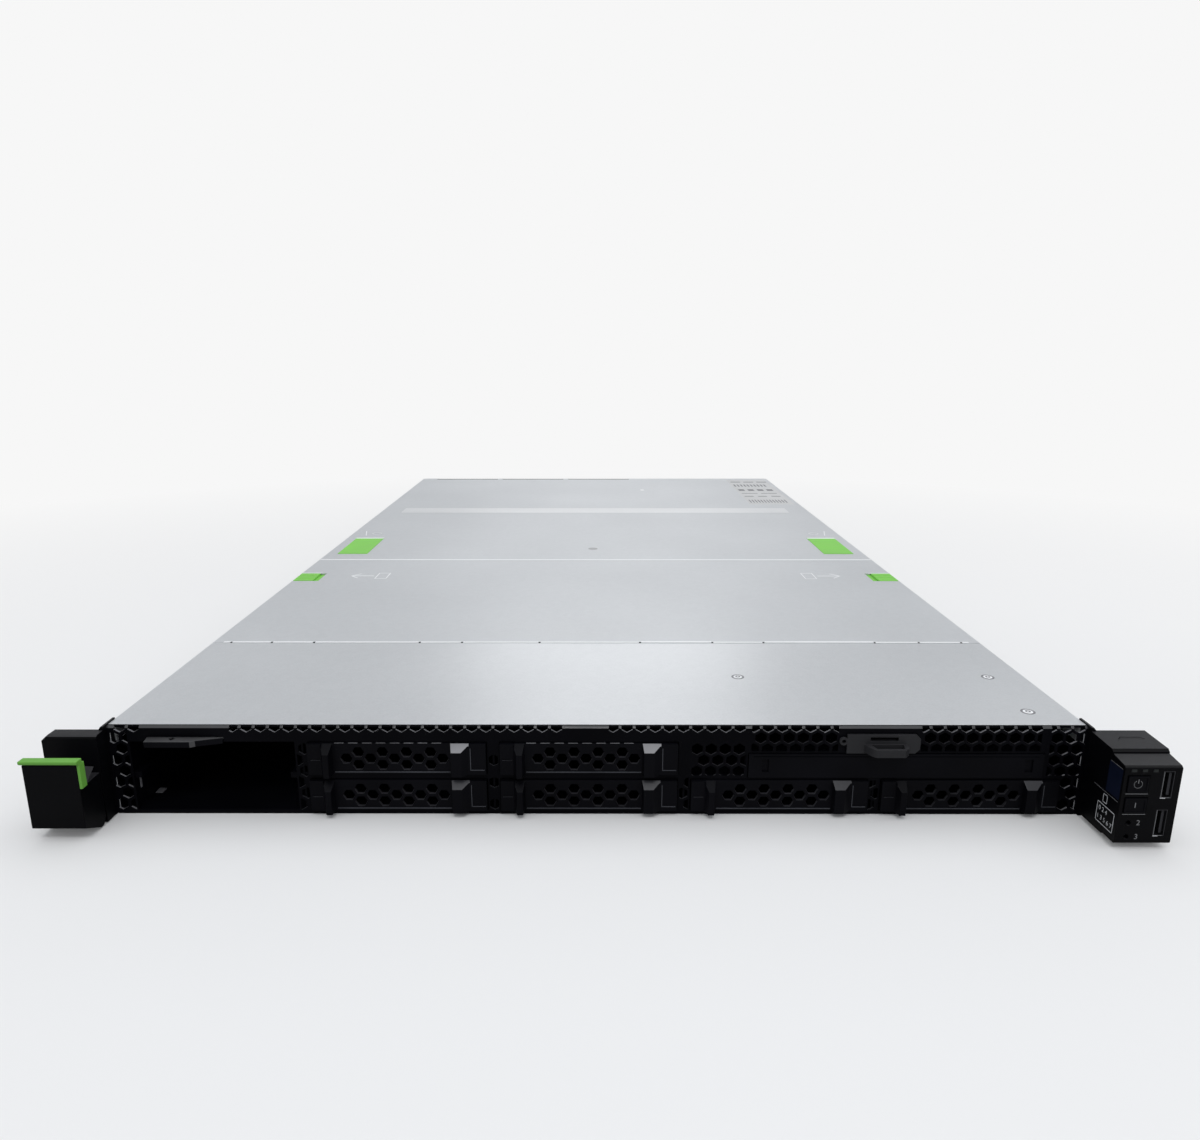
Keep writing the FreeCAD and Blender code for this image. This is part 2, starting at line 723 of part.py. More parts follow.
def blank_profile(left):
    """Top view of a drive blank: finger panel, rib, mesh wall, catch block, end panel and arms."""
    front = face - 0.8
    back = face + s.blank_depth
    wall = s.blank_wall
    behind = front + wall
    outside = [
        (0, back), (0, front - 1.2), (s.grip_end - 1.0, front - 1.2), (s.grip_end, front - s.rib_reach + 1.5),
        (s.grip_end + 0.6, front - s.rib_reach), (s.rib_end - 0.8, front - s.rib_reach), (s.rib_end, front),
        (mesh_end, front), (mesh_end + 0.6, front - s.block_reach),
        (block_end, front - s.block_reach), (panel_start, front - 1.0),
        (blank_width, front - 1.0), (blank_width, back),
    ]
    inside = [
        (blank_width - wall, back), (blank_width - wall, behind),
        (wall, behind), (wall, back),
    ]
    return [(left + a, b) for a, b in outside + inside]


RIB_DROP = 3.2
BLOCK_DROP = 3.0


def make_blank(number, index, row):
    """One drive blank with its mesh and the chamfers on top of its rib and block."""
    left = column(index)
    base = row_base(row)
    top = base + s.blank_height
    body = pad("blank_%d_body" % number, "xy", blank_profile(left), base, top)
    front = face - 0.8
    bevel = []
    rib = (s.grip_end, s.rib_end, s.rib_reach, RIB_DROP)
    block = (mesh_end, panel_start, s.block_reach, BLOCK_DROP)
    for start, stop, reach, drop in (rib, block):
        tip = front - reach - 1
        wedge = [(tip, top + 1), (tip, top - drop - 1), (front, top), (front + 1, top + 1)]
        bevel.append(pad("blank_%d_bevel" % number, "yz", wedge, left + start - 0.5, left + stop + 0.5))
    mesh_left = left + s.mesh_first - s.mesh_across / math.sqrt(3)
    zone = [(mesh_left.value, (left + mesh_end).value - RIM, base.value + RIM, top.value - RIM)]
    deep = (front.value - 1, front.value + s.blank_wall.value + 1)
    vents = cells("blank_%d_cells" % number, zone, mesh_lattice, s.mesh_across.value, FLAT_TOPPED, *deep)
    line_z = (base + s.blank_height / 2 - 0.3, base + s.blank_height / 2 + 0.3)
    line = box((left + 1, left + s.grip_end - 1.5), (front - 2, front - 0.8), line_z, "grip_line")
    piece = cut(body, bevel + [line], "blank_%d_form" % number)
    keep(cut(piece, [vents], "blank_%d" % number), "drive_blank_%d" % number)


def make_optical_blank():
    """Plain front of the slim bay with its two finger slots and side arms."""
    front = face - 0.6
    back = face + s.blank_depth
    wall = s.blank_wall
    left, right = optical_left, optical_right
    shape = [
        (left, back), (left, front), (right, front), (right, back), (right - wall, back),
        (right - wall, front + wall), (left + wall, front + wall), (left + wall, back),
    ]
    body = pad("optical_body", "xy", shape, optical_low, optical_top)
    slots = []
    slot_z = (optical_low + 2.8, optical_top - 2.6)
    for start, width in ((left + 6.0, 3.0), (right - 8.0, 3.4)):
        slots.append(box((start, start + width), (front - 1, front + 1.0), slot_z, "finger_slot"))
    line_z = (optical_top - 1.4, optical_top - 1.0)
    line = box((left + 2, right - 2), (front - 1, front + 0.4), line_z, "face_line")
    keep(cut(body, slots + [line], "optical"), "optical_blank")


def make_card():
    """Pull out identity card: a thin plate with a thick finger tab."""
    left, right = card_left, card_right
    front = face - 0.4
    back = face + s.card_length
    plate = [(left, back), (left, front), (right, front), (right, back)]
    sheet_body = pad("card_plate", "xy", plate, card_low, card_top)
    tab_end = left + s.card_tab
    tip = front - 4.4
    tab = [(left, front), (left + 0.8, tip), (tab_end - 2.0, tip), (tab_end, tip + 1.2), (right, front)]
    tab_body = pad("card_tab_body", "xy", tab, card_low - 2.0, card_top)
    inside = tip + 1.4
    hollow = [(left + 2, front - 1), (left + 2.6, inside), (tab_end - 2.5, inside), (right - 8, front - 1)]
    under = pad("card_hollow", "xy", hollow, card_low - 3.0, card_low - 0.8)
    keep(fuse([sheet_body, cut(tab_body, [under])], "card"), "id_card")


TONGUE_REACH = 14.0
EYE_SIDES = 12


def make_service_tab():
    """Pull tab over the slim bay: plate with a window, a loop, an eyelet and a tongue."""
    plate_front = face - 1.4
    plate_back = face - 0.1
    low, high = tab_low, tab_high
    left, right = tab_left, tab_right
    corner = 2.0
    plate = [
        (left, low), (right - corner, low), (right, low + corner), (right, high - corner),
        (right - corner, high), (left, high),
    ]
    body = pad("tab_plate", "xz", plate, plate_front, plate_back)
    loop = [
        (window_left - 1.8, plate_front), (window_left + 0.6, plate_front - s.loop_reach + 1.2),
        (window_left + 2.4, plate_front - s.loop_reach), (window_right + 0.6, plate_front - s.loop_reach),
        (window_right + 2.6, plate_front - s.loop_reach + 2.0), (window_right + 3.0, plate_front),
    ]
    scoop = pad("tab_scoop", "xy", loop, low + 0.8, low + 4.6)
    well = [
        (window_left + 1.2, plate_front - 0.4), (window_left + 2.6, plate_front - s.loop_reach + 1.4),
        (window_right + 0.4, plate_front - s.loop_reach + 1.4), (window_right + 1.2, plate_front - 0.4),
    ]
    hollow = pad("tab_well", "xy", well, low + 1.8, low + 6)
    tongue_z = (window_low + s.play, window_low + s.play + 1.6)
    tongue_x = (window_left + s.play, window_right - s.play)
    tongue = box(tongue_x, (plate_back - 0.5, face + TONGUE_REACH), tongue_z, "tongue")
    through = (plate_front - 1, plate_back + 1)
    window = box((window_left + 1, window_right - 1), through, (tongue_z[1], high - 1.2), "tab_window")
    centre = (left - 1.4, high - 3.2)
    eye = prism("y", (plate_front, plate_back), centre, 1.95, EYE_SIDES, "eyelet")
    hole = prism("y", through, centre, 0.9, EYE_SIDES, "eyelet_hole")
    piece = cut(fuse([body, scoop, eye]), [hollow, hole, window], "tab_form")
    keep(fuse([piece, tongue], "tab"), "service_tab")


CAGE_SHEET = 0.8


def make_cage():
    """Walls, shelves and guide ledges that carry drives and the slim bay."""
    span = (face_back, cage_back)
    floor = s.sheet
    walls = []
    for index in range(3):
        gap = bay_right if index == 0 else column(index - 1) + blank_width
        middle = (gap + column(index)) / 2
        walls.append(box((middle - 0.5, middle + 0.5), span, (floor, wall_top), "cage_wall"))
    last = (column(2) + blank_width + column(3)) / 2
    shelf = (low_top + s.play, low_top + s.play + s.thin_bar)
    walls.append(box((last - 0.5, last + 0.5), span, (floor, shelf[0]), "cage_wall"))
    outer_left = (bay_left - 1.5, bay_left - 0.5)
    walls.append(box(outer_left, span, (floor, wall_top), "cage_wall"))
    end = column(3) + blank_width
    outer_right = (end + 0.8, end + 1.8)
    walls.append(box(outer_right, span, (floor, shelf[1]), "cage_wall"))
    middle = (column(1) + blank_width + column(2)) / 2
    walls.append(box((middle, outer_right[1]), span, shelf, "slim_shelf"))
    slim_left = (optical_left - 1.6, optical_left - 0.6)
    slim_right = (optical_right + 0.6, optical_right + 1.6)
    slim_top = optical_top + s.play
    walls.append(box(slim_left, span, (shelf[0], wall_top), "slim_wall"))
    walls.append(box(slim_right, span, (shelf[0], slim_top + s.thin_bar), "slim_wall"))
    walls.append(box((slim_left[0], slim_right[1]), span, (slim_top, slim_top + s.thin_bar), "slim_roof"))
    walls.append(box((outer_left[0], outer_right[1]), span, (floor, floor + CAGE_SHEET), "cage_floor"))
    ledges = []
    for index in range(4):
        left = column(index)
        right = left + blank_width
        outer = [left - 3.1, right + 3.1] if index < 3 else [left - 3.1, right + 0.8]
        levels = [(floor, s.row_low - s.slip)]
        if index < 2:
            levels.append((low_top + s.slip, row_high - s.slip))
        for level in levels:
            ledges.append(box((outer[0], left + 4), span, level, "ledge"))
            ledges.append(box((right - 4, outer[1]), span, level, "ledge"))
    level = (low_top + s.slip, row_high - s.slip)
    ledges.append(box((outer_left[1], bay_left + 3.2), span, level, "bay_ledge"))
    ledges.append(box((bay_right - 3.2, bay_right + 3.0), span, level, "bay_ledge"))
    card_floor = (card_low - s.slip - 0.7, card_low - s.slip)
    card_x = (outer_left[0], card_right + 3)
    ledges.append(box(card_x, (face_back, face + s.card_length + 2), card_floor, "card_shelf"))
    keep(fuse(walls + ledges, "cage"), "drive_cage")


BOARD_EDGE = 6.0


def make_backplane():
    """Board across the back of the cage, slotted for air."""
    board_x = (-half + BOARD_EDGE, half - BOARD_EDGE)
    board_y = (cage_back, cage_back + s.board_sheet)
    board = box(board_x, board_y, (s.sheet, wall_top - 1.5), "backplane_board")
    slots = []
    for index in range(-1, 4):
        x = (column(index) + 8, column(index) + blank_width - 9.3)
        slots.append(box(x, (cage_back - 1, cage_back + 3), (row_high + 8.5, row_high + 14.0), "air_slot"))
    keep(cut(board, slots, "backplane_form"), "backplane")
    plugs = []
    for index in range(-1, 4):
        for row in (0, 1):
            if index > 1 and row:
                continue
            left = column(index) + 20
            low = row_base(row) + 2
            plugs.append(box((left, left + 36), (cage_back - 7, cage_back), (low, low + 5), "drive_plug"))
    keep(group(plugs, "plugs"), "drive_connectors")


# Ears

def lever_profile():
    """Side view of the lever: face, slanted foot, pocket floor."""
    front = -s.lever_face
    back = ear_rear - s.left_block - s.play
    return [
        (front, s.lever_foot), (front + 11, LEVER_GAP), (-s.pivot_back, LEVER_GAP), (back, s.pivot_high),
        (back, s.lever_floor), (front + s.lever_skin, s.lever_floor), (front + s.lever_skin, lever_top),
        (front + 0.8, lever_top), (front, lever_top - 0.8),
    ]


LUG = (-ear_middle - 2.5, -ear_middle + 2.5)
HOOK_X = (-ear_outer + 4.7, -ear_outer + 4.7 + s.hook_sheet)
HOOK_PIVOT = (ear_rear - 2.7, ear_top - 9.0)
HOOK_SLOT = (ear_top - 24.0, ear_top - 3.5)
LEVER_SIDES = (-ear_outer + 0.4, -ear_inner)
STRIP_REACH = 6.0
STRIP_WIDTH = 2.2
STRIP_LOW = 3.0
STRIP_RISE = 0.6
STRIP_CREST = 1.0
LEVER_GAP = 0.6
SHOULDER = 2.2
LUG_LOW = 0.8
LUG_HIGH = 7.0
GRIP_SHEET = 1.2
GRIP_RISE = 2.0


def flange_strip():
    """Upright edge strip between ear and chassis, seen from the front; its crest stands over the sheets."""
    outer = -half - STRIP_WIDTH
    crest = s.body_height + STRIP_RISE
    foot = [(outer, STRIP_LOW), (-half, STRIP_LOW)]
    return foot + [(-half, crest), (-half - STRIP_CREST, crest), (outer, ear_top)]


def make_left_ear():
    """Left ear block with its rounded shoulder, side strip, lug for the lever and slot for the hook."""
    front = ear_rear - s.left_block
    top = ear_top
    shape = [
        (ear_rear, LEVER_GAP), (ear_rear, top), (front + 1.6, top), (front + 0.5, top - 0.5),
        (front, top - 1.6), (front, LEVER_GAP),
    ]
    block = pad("left_block_body", "yz", shape, -ear_outer, -half)
    strip = pad("left_strip", "xz", flange_strip(), ear_rear - 1, STRIP_REACH)
    reach = -s.pivot_back - 2.4
    lug_back = front + 1
    lug_shape = [
        (lug_back, LUG_LOW), (lug_back, LUG_HIGH), (-s.pivot_back, LUG_HIGH), (reach, 5.0), (reach, LUG_LOW),
    ]
    lug = pad("left_lug", "yz", lug_shape, LUG[0], LUG[1])
    bore = rod("x", (LUG[0] - 1, LUG[1] + 1), (-s.pivot_back, s.pivot_high), s.pin_radius, "lug_bore")
    slot_x = (HOOK_X[0] - s.play, HOOK_X[1] + s.play)
    slot = box(slot_x, (HOOK_PIVOT[0] - 3.0, ear_rear + 1), HOOK_SLOT, "hook_slot")
    pin_span = (HOOK_X[0] - 3, HOOK_X[1] + 3)
    hook_bore = rod("x", pin_span, (HOOK_PIVOT[0], HOOK_PIVOT[1]), s.pin_radius, "hook_bore")
    side = -ear_outer
    low = top - SHOULDER
    near = side + SHOULDER
    corner = [(side - 1, top + 1), (side - 1, low), (side, low), (near, top), (near, top + 1)]
    bevel = pad("left_bevel", "xz", corner, front - 1, ear_rear + 1)
    keep(cut(fuse([block, strip, lug]), [bore, slot, hook_bore, bevel], "left"), "left_ear")


def hook_shape(pivot_y, pivot_z):
    """Side view of a rack hook: eye, arm through the ear and a turned down nose."""
    back = ear_rear + s.hook_reach
    return [
        (pivot_y - 2.2, pivot_z - 2.6), (pivot_y - 2.2, pivot_z + 2.4), (pivot_y + 2, pivot_z + 3.0),
        (back - 2.5, pivot_z + 3.0), (back, pivot_z + 0.5), (back, pivot_z - 5.0),
        (back - 2.2, pivot_z - 5.0), (back - 3.4, pivot_z - 1.4), (pivot_y + 2, pivot_z - 2.6),
    ]


def make_hooks():
    """Rack hooks of both ears, and the pins of hooks and lever."""
    pins = []
    for name, span in (("left_hook", HOOK_X), ("right_hook", (-HOOK_X[1], -HOOK_X[0]))):
        body = pad(name + "_arm", "yz", hook_shape(*HOOK_PIVOT), span[0], span[1])
        eye_span = (span[0] - 1, span[1] + 1)
        eye = rod("x", eye_span, HOOK_PIVOT, s.pin_radius + s.pin_play, "hook_eye")
        keep(cut(body, [eye], name), name)
        pin_span = (span[0] - 3, span[1] + 3)
        pins.append(rod("x", pin_span, HOOK_PIVOT, s.pin_radius, "hook_rod"))
    lever_span = (LEVER_SIDES[0] + 3, LEVER_SIDES[1] - 3)
    pins.append(rod("x", lever_span, (-s.pivot_back, s.pivot_high), s.pin_radius, "lever_rod"))
    keep(group(pins, "pins"), "ear_pins")


def make_lever():
    """Lever of the left ear, slotted round the ear's lug, and the green grip on its edge."""
    sides = LEVER_SIDES
    body = pad("lever_body", "yz", lever_profile(), sides[0], sides[1])
    lug_x = (LUG[0] - s.play, LUG[1] + s.play)
    slot = box(lug_x, (-s.pivot_back - 4.2, -8), (-1, 9.0), "lug_slot")
    bore_span = (sides[0] + 3, sides[1] - 3)
    pivot = (-s.pivot_back, s.pivot_high)
    wide = rod("x", bore_span, pivot, s.pin_radius + s.pin_play, "lever_bore")
    keep(cut(body, [slot, wide], "lever"), "left_lever")
    front = -s.lever_face
    lip_top = lever_top + GRIP_RISE
    lip_back = front + s.lever_skin
    leg_back = lip_back + 1.4
    grip_side = sides[1] + GRIP_SHEET
    lip_shape = [
        (front - 0.6, lever_top), (front - 1.6, lever_top + 0.7), (front - 1.6, lip_top),
        (lip_back, lip_top), (lip_back, lever_top),
    ]
    lip = pad("grip_lip", "yz", lip_shape, -ear_outer, grip_side)
    leg = box((sides[1], grip_side), (front, leg_back), (s.lever_floor, lever_top), "grip_leg")
    keep(fuse([lip, leg], "grip"), "left_grip")


# Control panel: left edge, underside, width and height of its buttons, and the other places on it
BUTTON_LEFT = ear_inner + 1.6
LAMP_LOW = ear_top - 6.0
LAMP_HIGH = 1.2
POWER_SIZE = (8.6, 7.4)
IDENT_SIZE = (9.0, 6.8)
POWER_LOW = LAMP_LOW - 1.8 - POWER_SIZE[1]
IDENT_LOW = POWER_LOW - 2.6 - IDENT_SIZE[1]
POWER = (BUTTON_LEFT, POWER_LOW) + POWER_SIZE
IDENT = (BUTTON_LEFT, IDENT_LOW) + IDENT_SIZE
PINHOLE_X = ear_inner + 4.4
NMI_HIGH = 6.2
RESET_HIGH = NMI_HIGH + (IDENT_LOW - NMI_HIGH) * 0.58
PINHOLES = [("reset_button", PINHOLE_X, RESET_HIGH), ("nmi_button", PINHOLE_X, NMI_HIGH)]
PINHOLE_RADIUS = 1.15
PLUNGER_RADIUS = 0.85
PINHOLE_SIDES = 12
PORT_LEFT = ear_outer - 7.9
PORT_PLACES = [(PORT_LEFT + 0.2, ear_top - 17.9), (PORT_LEFT - 0.2, 6.6)]
LAMPS = [(ear_inner + 2.4, 2.2), (ear_inner + 7.0, 2.0), (ear_inner + 11.4, 2.0)]
BUTTON_POCKET = 5.6
PORT_SHEET = 0.35
PANEL_LOW = 3.0


def make_right_ear():
    """Right ear: rack block, control panel and what sits in it."""
    back = ear_rear
    front = ear_rear - s.right_block
    block_shape = [
        (back, PANEL_LOW - 1.0), (back, ear_top), (front + 1.2, ear_top - 0.6), (front, ear_top - 1.6),
        (front, PANEL_LOW - 0.6),
    ]
    block = pad("right_block_body", "yz", block_shape, half, ear_outer)
    strip = pad("right_strip", "xz", mirrored(flange_strip()), ear_rear - 1, STRIP_REACH)
    slot_x = (-HOOK_X[1] - s.play, -HOOK_X[0] + s.play)
    slot = box(slot_x, (HOOK_PIVOT[0] - 3.0, ear_rear + 1), HOOK_SLOT, "hook_slot")
    pin_span = (-HOOK_X[1] - 3, -HOOK_X[0] + 3)
    hook_bore = rod("x", pin_span, HOOK_PIVOT, s.pin_radius, "hook_bore")
    ports = []
    panel_ports = []
    for left, low in PORT_PLACES:
        x = (left, left + s.usb_width)
        z = (low, low + s.usb_height)
        deep = -s.panel_face + s.usb_depth
        ports.append(box(x, (front - 1, deep), z, "port_pocket"))
        panel_ports.append(box(x, (-s.panel_face - 1, front + 1), z, "port_slot"))
    keep(cut(fuse([block, strip]), [slot, hook_bore] + ports, "right"), "right_ear")
    face_y = -s.panel_face
    panel_shape = [
        (front, PANEL_LOW), (front, ear_top - 2.2), (face_y + 1.0, ear_top - 3.4), (face_y, ear_top - 4.2),
        (face_y, PANEL_LOW + 0.6), (face_y + 0.6, PANEL_LOW),
    ]
    panel = pad("panel_body", "yz", panel_shape, half, ear_outer)
    pockets = []
    for left, low, width, height in (POWER, IDENT):
        x = (left - s.play, left + width + s.play)
        z = (low - s.play, low + height + s.play)
        pockets.append(box(x, (face_y - 1, face_y + BUTTON_POCKET), z, "button_pocket"))
    for name, x, z in PINHOLES:
        deep = (face_y - 1, face_y + BUTTON_POCKET)
        pockets.append(prism("y", deep, (x, z), PINHOLE_RADIUS, PINHOLE_SIDES, "pinhole"))
    for left, width in LAMPS:
        z = (LAMP_LOW, LAMP_LOW + LAMP_HIGH)
        pockets.append(box((left, left + width), (face_y - 1, face_y + 2), z, "lamp_pocket"))
    keep(cut(panel, pockets + panel_ports, "panel"), "control_panel")


def make_panel_pieces():
    """Buttons, ports and lamps of the control panel."""
    face_y = -s.panel_face
    for name, (left, low, width, height) in (("power_button", POWER), ("id_button", IDENT)):
        y = (face_y - 0.4, face_y + BUTTON_POCKET - s.button_travel - s.play)
        cap = box((left, left + width), y, (low, low + height), name + "_cap")
        dish_x = (left + 0.8, left + width - 0.8)
        dish_z = (low + 0.8, low + height - 0.8)
        dish = box(dish_x, (face_y - 1, face_y - 0.1), dish_z, "dish")
        keep(cut(cap, [dish], name), name)
    for name, x, z in PINHOLES:
        y = (face_y + 1.4, face_y + BUTTON_POCKET - s.button_travel - s.play)
        keep(prism("y", y, (x, z), PLUNGER_RADIUS, PINHOLE_SIDES, name + "_plunger"), name)
    shells = []
    for left, low in PORT_PLACES:
        y = (face_y + 0.1, face_y + s.usb_depth)
        shell = box((left, left + s.usb_width), y, (low, low + s.usb_height), "port_shell")
        hollow_x = (left + PORT_SHEET, left + s.usb_width - PORT_SHEET)
        hollow_z = (low + PORT_SHEET, low + s.usb_height - PORT_SHEET)
        hollow = box(hollow_x, (face_y - 1, face_y + s.usb_depth - 1), hollow_z)
        tongue_x = (left + s.usb_width - 1.9, left + s.usb_width - 0.7)
        tongue_z = (low + 1.0, low + s.usb_height - 1.0)
        tongue = box(tongue_x, (face_y + 1, face_y + s.usb_depth - 0.5), tongue_z)
        shells.append(fuse([cut(shell, [hollow], "port_cavity"), tongue], "port"))
    keep(group(shells, "front_port_pair"), "front_ports")
    lamps = []
    for left, width in LAMPS:
        z = (LAMP_LOW, LAMP_LOW + LAMP_HIGH)
        lamps.append(box((left, left + width), (face_y - 0.05, face_y + 2), z, "lamp"))
    keep(group(lamps, "lamps"), "status_lamps")


# Top cover

LATCH_SLOT = 1.2
BEAD_SLOPE = 2.0
REAR_CUT = 7.0
COVER_CORNER = 3.0
RIDGES = 3
RIDGE_PITCH = 5.0


def make_cover():
    """Sliding cover: sheet with latch slots and rear cut-outs, tongues, flanges and a stiffening bead."""
    back = rear
    corner = COVER_CORNER
    points = [(-half, cover_front), (half, cover_front)]
    slot_front = s.latch_start - s.play
    slot_back = s.latch_start + s.latch_length + LATCH_SLOT
    slot_in = latch_inner - s.latch_travel - s.play
    points += [(half, slot_front), (slot_in, slot_front), (slot_in, slot_back), (half, slot_back)]
    points += [(half, back - corner), (half - corner, back)]
    for index in reversed(range(int(s.slot_count.value))):
        left = slot_left + slot_pitch * index + 1
        right = left + slot_width - 2
        points += [(right, back), (right, back - REAR_CUT), (left, back - REAR_CUT), (left, back)]
    points += [(-half + corner, back), (-half, back - corner)]
    points += [(-half, slot_back), (-slot_in, slot_back), (-slot_in, slot_front), (-half, slot_front)]
    sheet_body = pad("cover_sheet", "xy", points, roof, s.body_height)
    extras = []
    flange_end = rear_inner - s.cover_travel - 1
    for side in (-1, 1):
        outer = (inner - s.slip) * side
        nearer = (inner - s.slip - s.sheet) * side
        x = (nearer, outer) if side > 0 else (outer, nearer)
        for start, stop in ((cover_front + 2, slot_front - 1), (slot_back + 1, flange_end)):
            extras.append(box(x, (start, stop), (roof - s.flange, roof), "cover_flange"))
    for index in range(-2, 3):
        centre = s.tongue_pitch * index
        x = (centre - s.tongue_width / 2 + 1, centre + s.tongue_width / 2 - 1)
        y = (s.plate_depth - s.tongue_reach, cover_front + 6)
        extras.append(box(x, y, (wall_top - s.sheet, wall_top), "tongue"))
        extras.append(box(x, (cover_front, cover_front + 6), (wall_top - s.sheet, roof), "joggle"))
    bead_y = (s.rib_start, s.rib_start + s.rib_length)
    bead_top = s.body_height + s.bead_height
    bead_side = half - s.bead_rim
    bead_shape = [
        (bead_y[0], s.body_height), (bead_y[1], s.body_height),
        (bead_y[1] - BEAD_SLOPE, bead_top), (bead_y[0] + BEAD_SLOPE, bead_top),
    ]
    extras.append(pad("cover_bead", "yz", bead_shape, -bead_side, bead_side))
    keep(fuse([sheet_body] + extras, "cover"), "top_cover")


def make_latches():
    """Green slides that lock the cover, each with a shoe under the sheet."""
    for name, side in (("cover_latch_left", -1), ("cover_latch_right", 1)):
        x_in, x_out = latch_inner * side, latch_outer * side
        x = (x_in, x_out) if side > 0 else (x_out, x_in)
        y = (s.latch_start, s.latch_start + s.latch_length)
        top = s.body_height + 0.3
        shoe_in, shoe_out = (latch_inner - 3) * side, (inner - s.sheet - 0.5) * side
        shoe_x = (shoe_in, shoe_out) if side > 0 else (shoe_out, shoe_in)
        slider = box(x, y, (roof, top), "slider")
        neck_out = (inner - 0.5) * side
        neck_x = (x_in, neck_out) if side > 0 else (neck_out, x_in)
        neck = box(neck_x, y, (wall_top - s.slip, roof), "neck")
        shoe = box(shoe_x, (y[0] - 2.5, y[1] + 3), (wall_top - s.slip - 1.2, wall_top - s.slip), "shoe")
        grooves = []
        for k in range(RIDGES):
            start = y[0] + 4 + RIDGE_PITCH * k
            grooves.append(box(x, (start, start + 1), (top - 0.4, top + 1), "groove"))
        keep(fuse([cut(slider, grooves), neck, shoe], name), name)


def make_pads():
    """Green touch pads stuck on the cover."""
    pads = []
    for side in (-1, 1):
        outer, nearer = (half - s.pad_rim) * side, (half - s.pad_rim - s.pad_width) * side
        x = (nearer, outer) if side > 0 else (outer, nearer)
        y = (s.pad_start, s.pad_start + s.pad_length)
        pads.append(box(x, y, (s.body_height, s.body_height + 0.4), "pad"))
    keep(group(pads, "pads"), "cover_pads")


# Cooling

def fan_place(index):
    """Side place of one fan's axis."""
    return fan_pitch * (index - (int(s.fan_count.value) - 1) / 2)


FAN_BASE = s.sheet
BLADES = 5
HUB_SIDES = 6
BORE_SIDES = 10
SHAFT_SIDES = 6


def make_fans():
    """Fan frames with their struts and shafts, and the rotors that turn on the shafts."""
    axis_z = FAN_BASE + fan_size / 2
    front, back = s.fan_start, s.fan_start + s.fan_depth
    frame = box((-fan_size / 2, fan_size / 2), (front, back), (FAN_BASE, FAN_BASE + fan_size), "fan_block")
    bore = prism("y", (front - 1, back + 1), (0, axis_z), fan_bore, BORE_SIDES, "fan_bore_tool")
    strut_y = (back - 3, back)
    reach = fan_bore + 0.4
    across = box((-reach, reach), strut_y, (axis_z - 1, axis_z + 1), "strut")
    shaft = prism("y", (front + 3, back - 1), (0, axis_z), s.shaft_radius, SHAFT_SIDES, "shaft")
    one = fuse([cut(frame, [bore]), across, shaft], "fan_frame")
    count = int(s.fan_count.value)
    copies = [clone(one, "fan_frame_%d" % k, x=fan_place(k)) for k in range(count)]
    keep(group(copies, "frames"), "fan_frames")
    rotor = make_rotor(axis_z.value, front.value + 2, back.value - 5.6)
    for k in range(count):
        keep(clone(rotor, "rotor_%d" % k, x=fan_place(k)), "fan_rotor_%d" % (k + 1))


def regular_bar(axis_z, radius, sides, front, back):
    """A bar with a regular outline round a fan's axis."""
    steps = [math.tau * k / sides for k in range(sides)]
    corners = [V(radius * math.cos(a), front, axis_z + radius * math.sin(a)) for a in steps]
    return Part.Face(Part.makePolygon(corners + corners[:1])).extrude(V(0, back - front, 0))


def make_rotor(axis_z, front, back):
    """Hub with slanted blades round it and a bore for the shaft."""
    hub = regular_bar(axis_z, s.hub_radius.value, HUB_SIDES, front, back)
    blades = [blade(axis_z, front + 1.5, back - 1.5, math.tau * k / BLADES) for k in range(BLADES)]
    clear = (s.shaft_radius + s.pin_play).value / math.cos(math.pi / SHAFT_SIDES)
    hole = regular_bar(axis_z, clear, SHAFT_SIDES, front + 1.0, back)
    thing = doc.addObject("Part::Feature", "rotor")
    thing.Shape = hub.fuse(blades).cut(hole).removeSplitter()
    return thing


BLADE_SLANT = 0.42
BLADE_SHEET = 1.4


def blade(axis_z, front, back, turn):
    """One flat blade, slanted from front to back, with its tip inside the bore."""
    lean = (back - front) * BLADE_SLANT / 2
    reach = fan_bore.value * math.cos(math.pi / BORE_SIDES) - s.blade_gap.value
    tip = math.sqrt(reach ** 2 - (lean + BLADE_SHEET) ** 2)
    root = s.hub_radius.value - 1.2
    low = axis_z + root
    places = ((-lean, front), (BLADE_SHEET - lean, front), (lean + BLADE_SHEET, back), (lean, back))
    ring = [V(x, y, low) for x, y in places]
    solid = Part.Face(Part.makePolygon(ring + ring[:1])).extrude(V(0, 0, tip - root))
    solid.rotate(V(0, 0, axis_z), V(0, 1, 0), math.degrees(turn))
    return solid


def make_fan_rail():
    """Front and rear rails that the fans stand between."""
    back = s.fan_start + s.fan_depth
    edge = half - 12
    front_rail = box((-edge, edge), (s.fan_start - s.sheet, s.fan_start), (s.sheet, 8), "rail")
    rear_rail = box((-edge, edge), (back, back + s.sheet), (s.sheet, 6), "rail")
    keep(group([front_rail, rear_rail], "rails"), "fan_rails")


# Boards and what stands on them

def make_board():
    """Main board, cut away for the power supplies, and its hexagonal standoffs."""
    left, right = -half + BOARD_EDGE, half - BOARD_EDGE
    step = supply_left - 4
    back_wide = rear - s.supply_depth - 12
    back = rear_inner - 2
    points = [
        (left, s.board_start), (right, s.board_start), (right, back_wide), (step, back_wide),
        (step, back), (left, back),
    ]
    keep(pad("board", "xy", points, s.board_base, board_top), "mainboard")
    posts = []
    for x in (left + 8, 0, right - 8):
        for y in (s.board_start + 8, s.board_start + 150, back_wide - 10):
            posts.append((x, y))
    posts += [(left + 8, back - 40), (step - 10, back - 40)]
    stands = []
    for place in posts:
        stands.append(prism("z", (s.sheet, s.board_base), place, 3.2, 6, "standoff"))
    keep(group(stands, "stands"), "board_standoffs")


